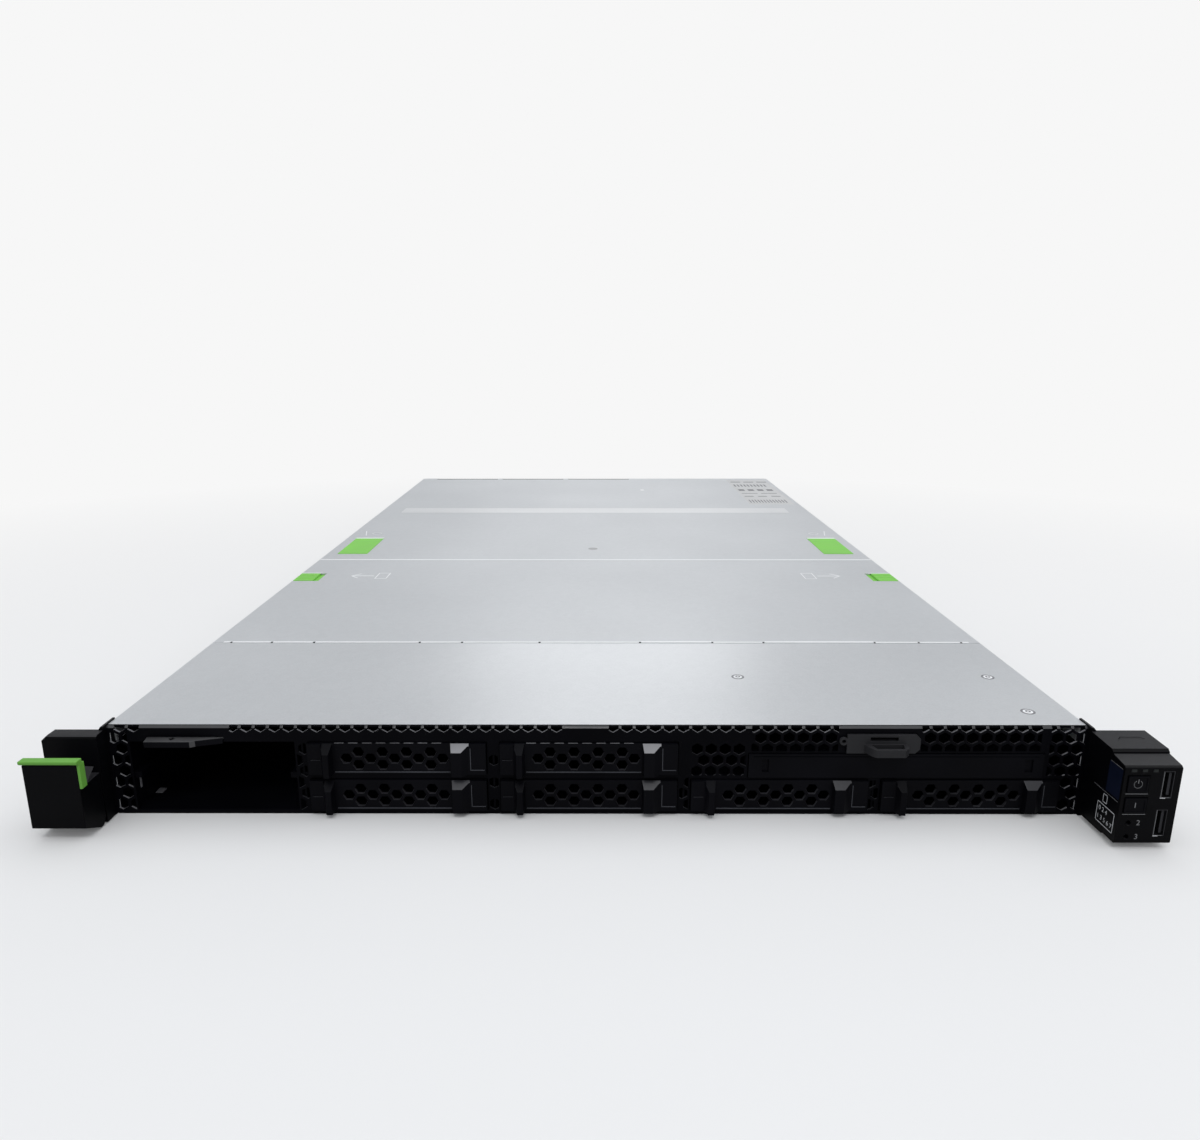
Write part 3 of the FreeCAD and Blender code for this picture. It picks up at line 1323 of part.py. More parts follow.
SINK_BASE = 5.0
DUCT_SHEET = 1.2
duct_under = duct_top - DUCT_SHEET
sink_top = duct_under - 2.2
module_top = duct_under - 2.7


def make_sinks():
    """A finned heat sink over each processor."""
    sinks = []
    for side in (-1, 1):
        centre = s.sink_place * side
        left = centre - s.sink_width / 2
        right = centre + s.sink_width / 2
        base_top = board_top + SINK_BASE
        points = [(left, board_top), (right, board_top), (right, base_top)]
        count = int(s.sink_width.value / s.fin_pitch.value)
        for k in reversed(range(count)):
            fin = centre + s.fin_pitch * (k - (count - 1) / 2)
            fin_right, fin_left = fin + s.fin_sheet / 2, fin - s.fin_sheet / 2
            points += [(fin_right, base_top), (fin_right, sink_top)]
            points += [(fin_left, sink_top), (fin_left, base_top)]
        points += [(left, base_top)]
        sinks.append(pad("sink_body", "xz", points, s.sink_start, s.sink_start + s.sink_depth))
    keep(group(sinks, "sinks"), "heat_sinks")


def make_memory():
    """Banks of memory modules beside each processor, and their sockets."""
    modules = []
    sockets = []
    count = int(s.module_count.value)
    start = s.sink_start + s.sink_depth / 2 - s.module_length / 2
    y = (start, start + s.module_length)
    socket_y = (start - 4, start + s.module_length + 4)
    socket_top = board_top + 7
    for side in (-1, 1):
        for bank in (-1, 1):
            edge = s.sink_place * side + (s.sink_width / 2 + s.module_pitch / 2 + 1) * bank
            for k in range(count):
                x = edge + s.module_pitch * k * bank
                if abs(x.value) > inner.value - 8:
                    continue
                if k % 2 == 0:
                    span = (x - s.module_sheet / 2, x + s.module_sheet / 2)
                    modules.append(box(span, y, (socket_top, module_top), "module"))
                sockets.append(box((x - 3.2, x + 3.2), socket_y, (board_top, socket_top), "socket"))
    keep(group(modules, "modules"), "memory_modules")
    keep(group(sockets, "sockets"), "memory_sockets")


def make_duct():
    """Air duct over the processors: roof, two outer walls and a middle web."""
    side = half - 8
    wall = DUCT_SHEET
    web = DUCT_SHEET / 2
    points = [
        (-side, board_top), (wall - side, board_top), (wall - side, duct_under), (-web, duct_under),
        (-web, board_top), (web, board_top), (web, duct_under), (side - wall, duct_under),
        (side - wall, board_top), (side, board_top), (side, duct_top), (-side, duct_top),
    ]
    keep(pad("duct", "xz", points, s.board_start + 20, s.sink_start + s.sink_depth + 30), "air_duct")


RISER_START = 190.0
RISER_END = 40.0


def make_risers():
    """Riser boards that stand behind the card slots."""
    boards = []
    for index in range(int(s.slot_count.value)):
        x = slot_left + slot_pitch * index + slot_width - 4
        y = (rear - RISER_START, rear - RISER_END)
        boards.append(box((x, x + s.board_sheet), y, (board_top, roof - 2.0), "riser"))
    keep(group(boards, "risers"), "riser_boards")


# Power supplies

INLET_SIZE = (24.6, 17.0)
INLET_DEPTH = 18.0
INLET_INSET = 6.0
INLET_LOW = 10.0
INLET_PINS = ((5.3, 6.0), (12.3, 10.0), (19.3, 6.0))
SUPPLY_VENTS = 6
VENT_START = 38.0
VENT_PITCH = 4.4
GRIP_INSET = 34.5
GRIP_WIDTH = 3.5
GRIP_REACH = 20.0


def make_supply(number):
    """Power supply with its inlet, fan grille, pull loop and release lever."""
    left = supply_left + s.supply_pitch * (number - 1)
    right = left + s.supply_width
    low, high = supply_low, supply_high
    back = rear + 1.0
    case = box((left, right), (back - s.supply_depth, back), (low, high), "supply_case")
    inlet_x = (left + INLET_INSET, left + INLET_INSET + INLET_SIZE[0])
    inlet_z = (low + INLET_LOW, low + INLET_LOW + INLET_SIZE[1])
    inlet = box(inlet_x, (back - INLET_DEPTH, back + 1), inlet_z, "inlet")
    pins = []
    for x, z in INLET_PINS:
        place = inlet_x[0] + x
        high_place = inlet_z[0] + z
        pin_y = (back - INLET_DEPTH, back - 6)
        pins.append(box((place - 1, place + 1), pin_y, (high_place - 2.6, high_place + 2.6), "inlet_pin"))
    vents = []
    for k in range(SUPPLY_VENTS):
        start = left + VENT_START + k * VENT_PITCH
        vents.append(box((start, start + 2.8), (back - 3, back + 1), (low + 5, high - 5), "supply_vent"))
    shell = cut(case, [inlet] + vents, "supply_%d_shell" % number)
    keep(fuse([shell] + pins, "supply_%d" % number), "power_supply_%d" % number)
    grip_x = (left + GRIP_INSET, left + GRIP_INSET + GRIP_WIDTH)
    loop_out = back + GRIP_REACH
    foot_low = box(grip_x, (back, loop_out), (low + 5, low + 8), "handle_leg")
    foot_high = box(grip_x, (back, loop_out), (high - 8, high - 5), "handle_leg")
    bar = box(grip_x, (loop_out - GRIP_WIDTH, loop_out), (low + 5, high - 5), "handle_bar")
    keep(fuse([foot_low, foot_high, bar], "handle_%d" % number), "supply_handle_%d" % number)
    lever_x = (right - 6.0, right - 4.0)
    shape = [
        (lever_x[0], back + s.play), (lever_x[1], back + s.play), (lever_x[1], back + 12),
        (lever_x[1] - 4, back + 15), (lever_x[0] - 4, back + 14), (lever_x[0], back + 11),
    ]
    middle = (low + high) / 2
    lever = pad("release_%d_arm" % number, "xy", shape, middle - 6.5, middle + 6.5)
    keep(lever, "supply_release_%d" % number)


make_tray()
make_rear_wall()
make_top_plate()
make_rail_studs()
make_slot_brackets()
make_rear_ports()
make_grille()
make_cage()
make_backplane()
for number, (index, row) in enumerate(BLANK_PLACES, start=1):
    make_blank(number, index, row)
make_optical_blank()
make_card()
make_service_tab()
make_left_ear()
make_lever()
make_hooks()
make_right_ear()
make_panel_pieces()
make_cover()
make_latches()
make_pads()
make_fan_rail()
make_fans()
make_board()
make_sinks()
make_memory()
make_duct()
make_risers()
for number in (1, 2):
    make_supply(number)
doc.recompute()

# Check and write

failed = [thing.Name for thing in doc.Objects if "Invalid" in thing.State or "Error" in thing.State]
if failed:
    raise RuntimeError("failed objects: " + ", ".join(failed))
os.makedirs("parts", exist_ok=True)
for thing in nodes:
    if thing.Shape.isNull() or not thing.Shape.isValid():
        raise RuntimeError("bad shape: " + thing.Label)
for thing in nodes:
    thing.Shape.exportStep("parts/%s.step" % thing.Label)
print(len(nodes), "nodes written")
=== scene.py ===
import json
import math

import bmesh
import bpy
from mathutils import Euler, Matrix, Vector

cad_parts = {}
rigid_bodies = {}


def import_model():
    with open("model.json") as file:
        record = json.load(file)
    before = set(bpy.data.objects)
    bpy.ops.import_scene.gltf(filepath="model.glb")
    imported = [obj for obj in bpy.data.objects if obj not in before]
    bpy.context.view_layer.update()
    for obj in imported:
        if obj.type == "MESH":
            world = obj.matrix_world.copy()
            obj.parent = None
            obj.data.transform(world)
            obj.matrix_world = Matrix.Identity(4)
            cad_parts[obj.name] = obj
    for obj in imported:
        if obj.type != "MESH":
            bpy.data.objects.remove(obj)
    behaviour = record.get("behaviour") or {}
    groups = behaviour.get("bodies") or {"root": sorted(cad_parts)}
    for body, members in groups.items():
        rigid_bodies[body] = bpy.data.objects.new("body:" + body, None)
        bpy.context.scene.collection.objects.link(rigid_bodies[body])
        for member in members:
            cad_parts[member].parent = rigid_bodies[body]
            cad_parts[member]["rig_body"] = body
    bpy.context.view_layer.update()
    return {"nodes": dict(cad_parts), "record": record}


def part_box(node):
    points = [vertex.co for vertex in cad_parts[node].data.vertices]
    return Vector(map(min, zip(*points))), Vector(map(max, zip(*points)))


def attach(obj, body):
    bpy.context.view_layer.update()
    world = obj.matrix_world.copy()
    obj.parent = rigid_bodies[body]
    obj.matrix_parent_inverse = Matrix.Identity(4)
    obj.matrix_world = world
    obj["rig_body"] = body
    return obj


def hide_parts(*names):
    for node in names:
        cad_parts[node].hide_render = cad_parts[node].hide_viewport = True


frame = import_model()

bl_info = {
    "name": "Rack server finish",
    "version": (1, 0, 0),
    "blender": (4, 5, 0),
    "location": "View3D > Sidebar > Rack server",
    "description": "Finishes and small parts of a flat rack server, built on its packed frame",
    "category": "Object",
}

MM = 0.001

# Places read from the frame, in metres

SIDE, PLATE_BACK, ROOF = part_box("front_top_plate")[1]
COVER_FRONT = PLATE_BACK + 0.4 * MM
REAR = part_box("chassis_tray")[1].y
PANEL_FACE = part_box("control_panel")[0].y
PANEL_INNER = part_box("control_panel")[0].x

BODY_OF = {name: node["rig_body"] for name, node in frame["nodes"].items()}
SLOT_OF = {row["node"]: row["material_slot"] for row in frame["record"]["subparts"]}

# Limits of the accents of painted glints, sheen and light on the CAD nodes' faces, in metres

TOP_ROW = ROOF - 3.4 * MM
STRIP_IN = SIDE - 9.5 * MM
BEAD_LEAST = 0.1 * MM
UPPER_ROW = 20.0 * MM
BLOCK_FROM_RIGHT = 20.0 * MM

# Mesh work: joining distance, angles, and what rounding may change

MERGE = 0.001 * MM
FLAT_ANGLE = math.radians(0.5)
SMOOTH_ANGLE = math.radians(30.0)
ROUND_ANGLE = math.radians(32.0)
FOLDED_SHARE = 0.0002
VOLUME_CHANGE = 0.05
FONT_SHARE = 0.7
RING_SIDES = 16

# Turns of heads that stand on a face

FACE_UP = (0.0, 0.0, 0.0)
FACE_REAR = (-math.pi / 2, 0.0, 0.0)
FACE_RIGHT = (0.0, math.pi / 2, 0.0)
FACE_LEFT = (0.0, -math.pi / 2, 0.0)

# Places and sizes of the small parts, in millimetres

TONGUES = [86.0 * k for k in range(-2, 3)]
TONGUE_HALF = 11.9
REAR_CUTS = [-200.0 + 83.0 * k for k in range(3)]
REAR_CUT_WIDTH = 77.0
CAGE_FRONT = -0.9
CAGE_BACK = 117.0
SIDE_RIVETS = [(along, high) for along in (12.0, 108.0, 160.0, 204.0, 560.0) for high in (9.0, 33.0)]
FRONT_RIVETS = ((72.0, 58.0), (199.0, 58.0), (198.5, 14.5))
STUD = (-2.0, 349.0)
WELD_GLINT = (55.3, 656.0)
REAR_SCREWS = ((-209.0, 36.0), (-130.0, 5.0), (-28.0, 12.0), (47.0, 30.0))
BLANK_FRONT = -2.8
MESH_PITCH = 6.2
ARROW = ([(-1.6, 0.9), (0.0, -0.9), (1.6, 0.9)], [(-0.4, 0.9), (0.4, 0.9), (0.4, 1.9), (-0.4, 1.9)])
BAY_SPRING_GLINTS = ((-207.9, -204.5, 13.5, 18.0, 1.9, 2.15), (-207.9, -207.6, 2.0, 3.2, 10.8, 18.0))
LEVER_LIT_SIDE = [(22.2, 33.8), (14.3, 29.6), (21.2, 24.8)]
STICKER = [(20.4, 22.4), (29.8, 22.4), (29.8, 36.2), (20.4, 36.2)]
EAR_TOP = 42.0
EAR_BRACKET = ((225.0, -12.0), (226.5, -10.4), (234.5, -10.4), (236.0, -12.0))
BUTTON_DISH = 0.28
PAD_SPAN = (185.0, 209.0)
LATCH_SLOT = (203.3, 217.0)
LATCH_RIM = (202.0, 217.0)
LATCH_BACK = 267.3
SEAM_GAP = 0.6
SEAM_BREAKS = [
    -212.0, -207.0, -184.0, -160.0, -100.0, -76.0, -32.0, 25.0, 66.0, 95.0, 158.0, 183.0, 207.0, 212.0,
]
SEAM_BRIGHT = ((25.0, 66.0), (95.0, 158.0))
BEND_LINE = 309.5
LABEL = (165.0, 213.0, 560.0, 735.0)
# Middle in depth, bar width, bar length, pitch, count
LABEL_BARS = (
    (580.0, 1.4, 18.0, 3.2, 13), (612.0, 10.0, 4.0, 15.0, 3), (632.0, 18.0, 3.0, 22.0, 2),
    (656.0, 7.0, 12.0, 11.0, 4), (690.0, 2.0, 16.0, 4.0, 10), (718.0, 12.0, 5.0, 16.0, 3),
)
NET_PITCH = 18.0
VIDEO_FROM_LEFT = 100.0
# Block of a chip on the main board, and the least and most share of it that a chip takes
CHIP = (5.0, 5.0, 1.6)
CHIP_LEAST = (0.4, 0.4, 0.6)
CHIP_MOST = (1.3, 1.3, 1.4)
CHIP_SPACING = 9.0
# Right, front and back of the main board's free part
BOARD_FREE = (-20.0, 470.0, 550.0)
MEMORY_CHIP = (0.9, 10.0, 8.0)
MEMORY_PITCH = 13.6

# Lamps (name, place, aim, width, height, power) and surroundings, in metres

LAMPS = (
    ("key_lamp", (-0.02, -1.15, 1.8), (0.0, 0.0, 0.04), 1.1, 0.35, 8.0),
    ("side_lamp", (1.8, 0.6, 1.9), (0.0, 0.3, 0.0), 1.6, 1.6, 7.0),
    ("rear_lamp", (0.05, 2.3, 0.95), (0.0, 0.1, 0.04), 0.9, 0.35, 1.8),
)
STUDIO_WHITE = (0.93, 0.93, 0.93, 1.0)
SKY = (0.95, 0.97, 1.0, 1.0)
WHITE_FROM = 0.15
WHITE_FULL = 1.1
FLOOR_BOUNCE = 0.45
BOUNCE_BEHIND = 0.82
BOUNCE_FROM = 0.2
BOUNCE_FULL = 1.4
WORLD_LOW = 0.42
WORLD_HIGH = 1.0
WORLD_STRENGTH = 0.7

# Camera: focal length, image width and middle in the photograph's pixels, place in mm and turn in degrees

FOCAL_PIXELS = 874.42
IMAGE_WIDTH = 1200
MIDDLE_X = 591.72
CAMERA_PLACE = (-1.162, -359.66, 205.68)
CAMERA_TURN = (75.678, 0.0125, 0.1462)

FINISH = {}


# Settings shown in the sidebar

def length(name, text, millimetres):
    """A length setting, given in millimetres and kept in metres."""
    return bpy.props.FloatProperty(
        name=name, description=text, default=millimetres * MM, min=0.0, subtype="DISTANCE", unit="LENGTH"
    )


def colour(name, text, value):
    """A colour setting."""
    return bpy.props.FloatVectorProperty(
        name=name, description=text, default=value, min=0.0, max=1.0, size=3, subtype="COLOR"
    )


class ServerSizes(bpy.types.PropertyGroup):
    """Sizes of the small parts that this script adds."""

    sheet_edge: length("Sheet edge", "Rounding of the bent and cut sheet edges", 0.16)
    plastic_edge: length("Plastic edge", "Rounding of moulded edges", 0.35)
    cell_edge: length("Cell edge", "Rounding round the punched hexagons", 0.14)
    rivet_radius: length("Rivet", "Radius of the flush rivets in the top sheets", 2.3)
    rivet_rise: length("Rivet rise", "Height of a rivet head above the sheet", 0.16)
    screw_radius: length("Screw", "Radius of the screw heads at the rear", 2.6)
    lip_width: length("Cover lip", "Width of the rolled front edge of the cover", 1.5)
    lip_rise: length("Cover lip rise", "Height of the rolled front edge of the cover", 0.3)
    bend_width: length("Bend line", "Width of the raised line across the cover", 1.6)
    digit_height: length("Digit height", "Height of the bay numbers on the right ear", 3.0)
    mark_depth: length("Mark depth", "How far printed marks and labels stand off", 0.04)


class ServerColours(bpy.types.PropertyGroup):
    """Colours of the finishes."""

    steel: colour("Galvanised sheet", "Zinc coated sheet, upper tone", (0.70, 0.715, 0.73))
    steel_dark: colour("Galvanised shade", "Zinc coated sheet, lower tone", (0.62, 0.635, 0.65))
    coat: colour("Black coat", "Powder coat of the front face", (0.0016, 0.0016, 0.0026))
    plastic: colour("Black plastic", "Moulded parts of the front", (0.0022, 0.0022, 0.0034))
    green: colour("Touch green", "Parts that may be touched", (0.22, 0.60, 0.09))
    board: colour("Circuit board", "Solder mask", (0.012, 0.085, 0.040))
    bright: colour("Bright metal", "Plated small parts", (0.72, 0.73, 0.74))
    print_tone: colour("Print", "Pale printed marks", (0.55, 0.56, 0.58))
    label: colour("Label", "Bare paper label", (0.58, 0.58, 0.58))
    floor: colour("Floor", "Studio floor and backdrop", (0.80, 0.80, 0.80))


def sizes():
    """The size settings of the scene."""
    return bpy.context.scene.server_sizes


def tones():
    """The colour settings of the scene."""
    return bpy.context.scene.server_colours


# Small helpers for places

def metres(*values):
    """Millimetres as a place or a size in metres."""
    return tuple(value * MM for value in values)


def box_mm(name):
    """Lower and upper corner of a node's box, in millimetres."""
    return [[value / MM for value in corner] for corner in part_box(name)]


def both_sides(near, far, *rest):
    """Two rows of one block, the first on the left side of the middle."""
    return [(*sorted((side * near, side * far)), *rest) for side in (-1, 1)]


# Materials

def node(tree, kind, inputs=None, **settings):
    """Add one shader or geometry node, with its settings, values and links."""
    made = tree.nodes.new(kind)
    for key, value in settings.items():
        setattr(made, key, value)
    for key, value in (inputs or {}).items():
        if isinstance(value, bpy.types.NodeSocket):
            tree.links.new(value, made.inputs[key])
        else:
            made.inputs[key].default_value = value
    return made


def mix(tree, factor, first, second):
    """Blend two colours and return the result's socket."""
    made = tree.nodes.new("ShaderNodeMix")
    made.data_type = "RGBA"
    for index, value in ((0, factor), (6, first), (7, second)):
        if isinstance(value, bpy.types.NodeSocket):
            tree.links.new(value, made.inputs[index])
        elif index:
            made.inputs[index].default_value = tuple(value)[:3] + (1.0,)
        else:
            made.inputs[index].default_value = value
    return made.outputs[2]


def ranged(tree, value, low, high, from_low=0.0, from_high=1.0):
    """Map a value to another range."""
    inputs = {"Value": value, "From Min": from_low, "From Max": from_high, "To Min": low, "To Max": high}
    return node(tree, "ShaderNodeMapRange", inputs).outputs["Result"]


def blend_shaders(tree, share, first, second, output):
    """Mix two shader nodes into the surface of an output node."""
    inputs = {0: share, 1: first.outputs[0], 2: second.outputs[0]}
    blend = node(tree, "ShaderNodeMixShader", inputs)
    tree.links.new(blend.outputs[0], tree.nodes[output].inputs["Surface"])


class Finish:
    """One procedural material with its shader, object coordinates and helpers."""

    def __init__(self, name, metallic=0.0, **fixed):
        self.material = bpy.data.materials.new(name)
        self.material.use_nodes = True
        self.tree = self.material.node_tree
        self.shader = self.tree.nodes["Principled BSDF"]
        self.shader.inputs["Metallic"].default_value = metallic
        for key, value in fixed.items():
            self.shader.inputs[key.replace("_", " ")].default_value = value
        self.place = self.tree.nodes.new("ShaderNodeTexCoord").outputs["Object"]

    def noise(self, millimetres, detail=2.0):
        """Noise whose features are about that many millimetres wide."""
        inputs = {"Vector": self.place, "Scale": 1.0 / (millimetres * MM), "Detail": detail, "Roughness": 0.5}
        return node(self.tree, "ShaderNodeTexNoise", inputs).outputs[0]

    def cells(self, millimetres):
        """A tone for each crystal of that size."""
        inputs = {"Vector": self.place, "Scale": 1.0 / (millimetres * MM)}
        return node(self.tree, "ShaderNodeTexVoronoi", inputs).outputs["Color"]

    def surface(self, tone, wear, low, high, height, depth_mm, strength):
        """Link the tone, the roughness that follows the wear, and a relief; return the material."""
        rough = ranged(self.tree, wear, low, high, 0.3, 0.7)
        inputs = {"Height": height, "Distance": depth_mm * MM, "Strength": strength}
        relief = node(self.tree, "ShaderNodeBump", inputs).outputs["Normal"]
        for key, socket in (("Base Color", tone), ("Roughness", rough), ("Normal", relief)):
            self.tree.links.new(socket, self.shader.inputs[key])
        return self.material


def shade(tone, share):
    """A tone made darker or brighter."""
    return tuple(channel * share for channel in tone)


def galvanised(name, light, dark, metallic=0.55, low=0.42, high=0.55, relief=0.2):
    """Zinc coated sheet: fine grain, faint crystals and a slow drift of tone."""
    made = Finish(name, metallic=metallic)
    tree = made.tree
    grain = made.noise(0.9, detail=3.0)
    drift = made.noise(120.0, detail=1.0)
    crystal = ranged(tree, made.cells(3.2), 0.35, 0.65)
    tone = mix(tree, 0.25, mix(tree, 0.5, grain, drift), crystal)
    spread = ranged(tree, tone, 0.0, 1.0, 0.36, 0.64)
    return made.surface(mix(tree, spread, dark, light), grain, low, high, grain, 0.02, relief)


def satin(name, tone, low, high, gloss=0.5, lift=1.5, grain_mm=0.35, depth=0.02):
    """Moulded plastic or powder coat: fine texture, dull patches where hands touch it."""
    made = Finish(name, Specular_IOR_Level=gloss)
    grain = made.noise(grain_mm, detail=1.0)
    patches = made.noise(30.0, detail=2.0)
    lighter = [min(1.0, channel * lift) for channel in tone]
    patched = mix(made.tree, ranged(made.tree, patches, 0.0, 1.0, 0.4, 0.7), tone, lighter)
    return made.surface(patched, patches, low, high, grain, depth, 0.4)


def circuit(name, tone):
    """Solder mask with a grid of tracks under it."""
    made = Finish(name, Coat_Weight=0.3, Coat_Roughness=0.2)
    tree = made.tree
    waves = []
    for direction in ("X", "Y"):
        inputs = {"Vector": made.place, "Scale": 120.0, "Distortion": 3.0, "Detail": 0.0}
        wave = node(tree, "ShaderNodeTexWave", inputs, bands_direction=direction)
        waves.append(ranged(tree, wave.outputs["Fac"], 0.0, 1.0, 0.62, 0.7))
    tracks = node(tree, "ShaderNodeMath", {0: waves[0], 1: waves[1]}, operation="MAXIMUM").outputs[0]
    tracked = mix(tree, tracks, tone, shade(tone, 1.9))
    return made.surface(tracked, made.noise(8.0), 0.30, 0.42, tracks, 0.03, 0.3)


def make_finishes():
    """Every material, by the record's slot and by the names of the added parts."""
    t = tones()
    # Near white of the painted highlights and of the bead's painted sheen
    highlight_white = (0.95, 0.96, 0.97)
    alloy = (0.74, 0.75, 0.76)
    gold = (0.78, 0.58, 0.22)
    # Front top sheet: the galvanised tones made lighter as painted sheen, with a smoother surface
    plate = [shade(tone, 1.08) for tone in (t.steel, t.steel_dark)]
    # Material name, light and dark tone, metallic share, least and most roughness, relief
    sheets = {
        "galvanised": ("galvanised_sheet", t.steel, t.steel_dark),
        "plate_sheet": ("front_sheet", *plate, 0.58, 0.335, 0.39, 0.06),
        "bright_metal": ("plated_metal", t.bright, shade(t.bright, 0.85), 0.95, 0.18, 0.30),
        "sink": ("extruded_aluminium", alloy, shade(alloy, 0.85), 0.9, 0.25, 0.4),
        # Painted highlight: near white, not metallic, on the cover's rolled edge, bend line, rims, pressed
        # marks and rivets
        "cover_lip": ("worn_edge", highlight_white, shade(highlight_white, 0.94), 0.0, 0.4, 0.5),
        # Painted sheen: whiter copy of the sheet on the cover's raised bead
        "rolled_bead": ("rolled_bead", shade(highlight_white, 0.86), shade(highlight_white, 0.81), 0.4, 0.32, 0.42, 0.05),
        "dull_metal": ("dark_nickel", (0.05, 0.05, 0.055), (0.03, 0.03, 0.035), 0.8, 0.3, 0.4),
        "contact": ("gilt_contact", gold, shade(gold, 0.85), 0.95, 0.2, 0.3),
    }
    # Material name, tone, least and most roughness, gloss, lift of the patches, grain and its depth
    satins = {
        "black_steel": ("black_powder_coat", t.coat, 0.32, 0.42, 0.06, 1.5, 0.5, 0.03),
        "black_plastic": ("black_moulded", t.plastic, 0.36, 0.48, 0.08),
        "green_plastic": ("green_moulded", t.green, 0.40, 0.52, 0.3, 1.1),
        "connector": ("connector_body", (0.012, 0.012, 0.014), 0.4, 0.5, 0.25),
        "lamp": ("light_guide", (0.014, 0.016, 0.016), 0.25, 0.35, 0.3),
        # Ears: a darker copy of the black plastic as painted shade, and a lighter copy on upward faces as
        # painted light
        "ear_shaded_plastic": ("ear_moulded", shade(t.plastic, 0.5), 0.36, 0.46, 0.10),
        "ear_lit_top": ("ear_upper_face", (0.013, 0.013, 0.0145), 0.4, 0.5, 0.3),
        # Painted shade: darker copy of the touch green for the grip on the front
        "grip": ("grip_moulded", shade(t.green, 0.62), 0.35, 0.45, 0.35, 1.1),
        # Painted sheen: lighter, glossier copy of the black coat on faces that slant up and forward
        "fold_sheen": ("rubbed_coat", (0.02, 0.02, 0.022), 0.16, 0.24, 0.6),
        # Dim painted glint: grey on upward walls of punched cells, lower bevels and port fronts
        "cell_wall": ("cell_wall", (0.026, 0.026, 0.03), 0.3, 0.4, 0.3),
        # Painted glint: bright grey on lit hole walls, upper bevels, spring tabs and edge dashes
        "rim_glint": ("rubbed_rim", (0.16, 0.16, 0.17), 0.25, 0.35),
        # Painted glint: grey lines along the drive blanks' lower lip and end panel
        "edge_glint": ("moulded_edge", (0.045, 0.047, 0.055), 0.3, 0.4, 0.3),
        # Painted light: grey copy of the black plastic on the ID card's faces but its front, and on the
        # lever's side
        "grey_plastic": ("grey_moulded", (0.05, 0.05, 0.052), 0.4, 0.5, 0.3),
        # Dark plastic of the service tab, also the painted shade in the rear cut-outs
        "tab_plastic_and_shade": ("tab_moulded", (0.016, 0.016, 0.018), 0.4, 0.5, 0.3),
        # Painted shade: grey rings round the rivets and discs in their wells
        "dimple": ("rivet_dimple", (0.16, 0.16, 0.17), 0.4, 0.5),
        "stud": ("stud_face", (0.33, 0.33, 0.34), 0.4, 0.5),
        # Painted glint: the near-white spot of the weld on the cover
        "weld": ("bright_weld", (0.95, 0.95, 0.95), 0.5, 0.6, 0.5, 1.0),
        # Printed marks, and also the painted glints at the ports
        "print": ("pale_print", t.print_tone, 0.5, 0.6, 0.5, 1.1),
        "faint_print_and_glint": ("worn_print", shade(t.print_tone, 0.35), 0.5, 0.6, 0.5, 1.1),
        "label": ("paper_label", t.label, 0.55, 0.65, 0.5, 1.05),
        "dark_label": ("dark_label", (0.004, 0.006, 0.016), 0.3, 0.4, 0.2),
        # Near black: painted shade in arrows, bracket, edge stops, latch and screw slots and socket holes;
        # also dark printed rear numbers
        "dark": ("deep_shade", (0.002, 0.002, 0.0025), 0.6, 0.8, 0.05),
    }
    made = {key: galvanised(*row) for key, row in sheets.items()}
    made.update({key: satin(*row) for key, row in satins.items()})
    made["board"] = circuit("solder_mask", t.board)
    return made


# Mesh helpers

def place_object(name, mesh):
    """Put a mesh in the scene as an object of that name."""
    made = bpy.data.objects.new(name, mesh)
    bpy.context.scene.collection.objects.link(made)
    return made


def evaluated_mesh(piece):
    """A new mesh of an object with its modifiers applied."""
    bpy.context.view_layer.update()
    graph = bpy.context.evaluated_depsgraph_get()
    return bpy.data.meshes.new_from_object(piece.evaluated_get(graph))


def flatten(piece):
    """Turn a piece and its modifiers into one plain mesh."""
    mesh = evaluated_mesh(piece)
    mesh.name = piece.name
    piece.modifiers.clear()
    piece.data = mesh


def settle(piece, body, finish):
    """Give a finished piece its material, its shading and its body."""
    if finish is not None:
        piece.data.materials.clear()
        piece.data.materials.append(FINISH[finish])
    piece.data.shade_smooth()
    piece.data.set_sharp_from_angle(angle=SMOOTH_ANGLE)
    even = piece.modifiers.new("even", "WEIGHTED_NORMAL")
    even.keep_sharp = True
    flatten(piece)
    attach(piece, body)


def mesh_from(build, name):
    """A new mesh object filled by a function that works on a bmesh."""
    work = bmesh.new()
    build(work)
    bmesh.ops.recalc_face_normals(work, faces=work.faces)
    mesh = bpy.data.meshes.new(name)
    work.to_mesh(mesh)
    work.free()
    return place_object(name, mesh)


def mesh_of(name, points, faces=()):
    """A new mesh object with those points and faces."""
    mesh = bpy.data.meshes.new(name)
    mesh.from_pydata(points, [], faces)
    return place_object(name, mesh)


def merged(mesh):
    """A bmesh copy of a mesh, with doubled points made one."""
    work = bmesh.new()
    work.from_mesh(mesh)
    bmesh.ops.remove_doubles(work, verts=work.verts, dist=MERGE)
    return work


def add_block(work, low, high):
    """One block between two corners, in metres."""
    size = [b - a for a, b in zip(low, high)]
    centre = [(a + b) / 2 for a, b in zip(low, high)]
    matrix = Matrix.Translation(centre) @ Matrix.Diagonal(size + [1.0])
    bmesh.ops.create_cube(work, size=1.0, matrix=matrix)


def add_plate(work, outline, low, high):
    """A flat plate with that outline in X and Y."""
    base = [work.verts.new((x, y, low)) for x, y in outline]
    face = work.faces.new(base)
    made = bmesh.ops.extrude_face_region(work, geom=[face])
    tops = [item for item in made["geom"] if isinstance(item, bmesh.types.BMVert)]
    bmesh.ops.translate(work, verts=tops, vec=(0, 0, high - low))


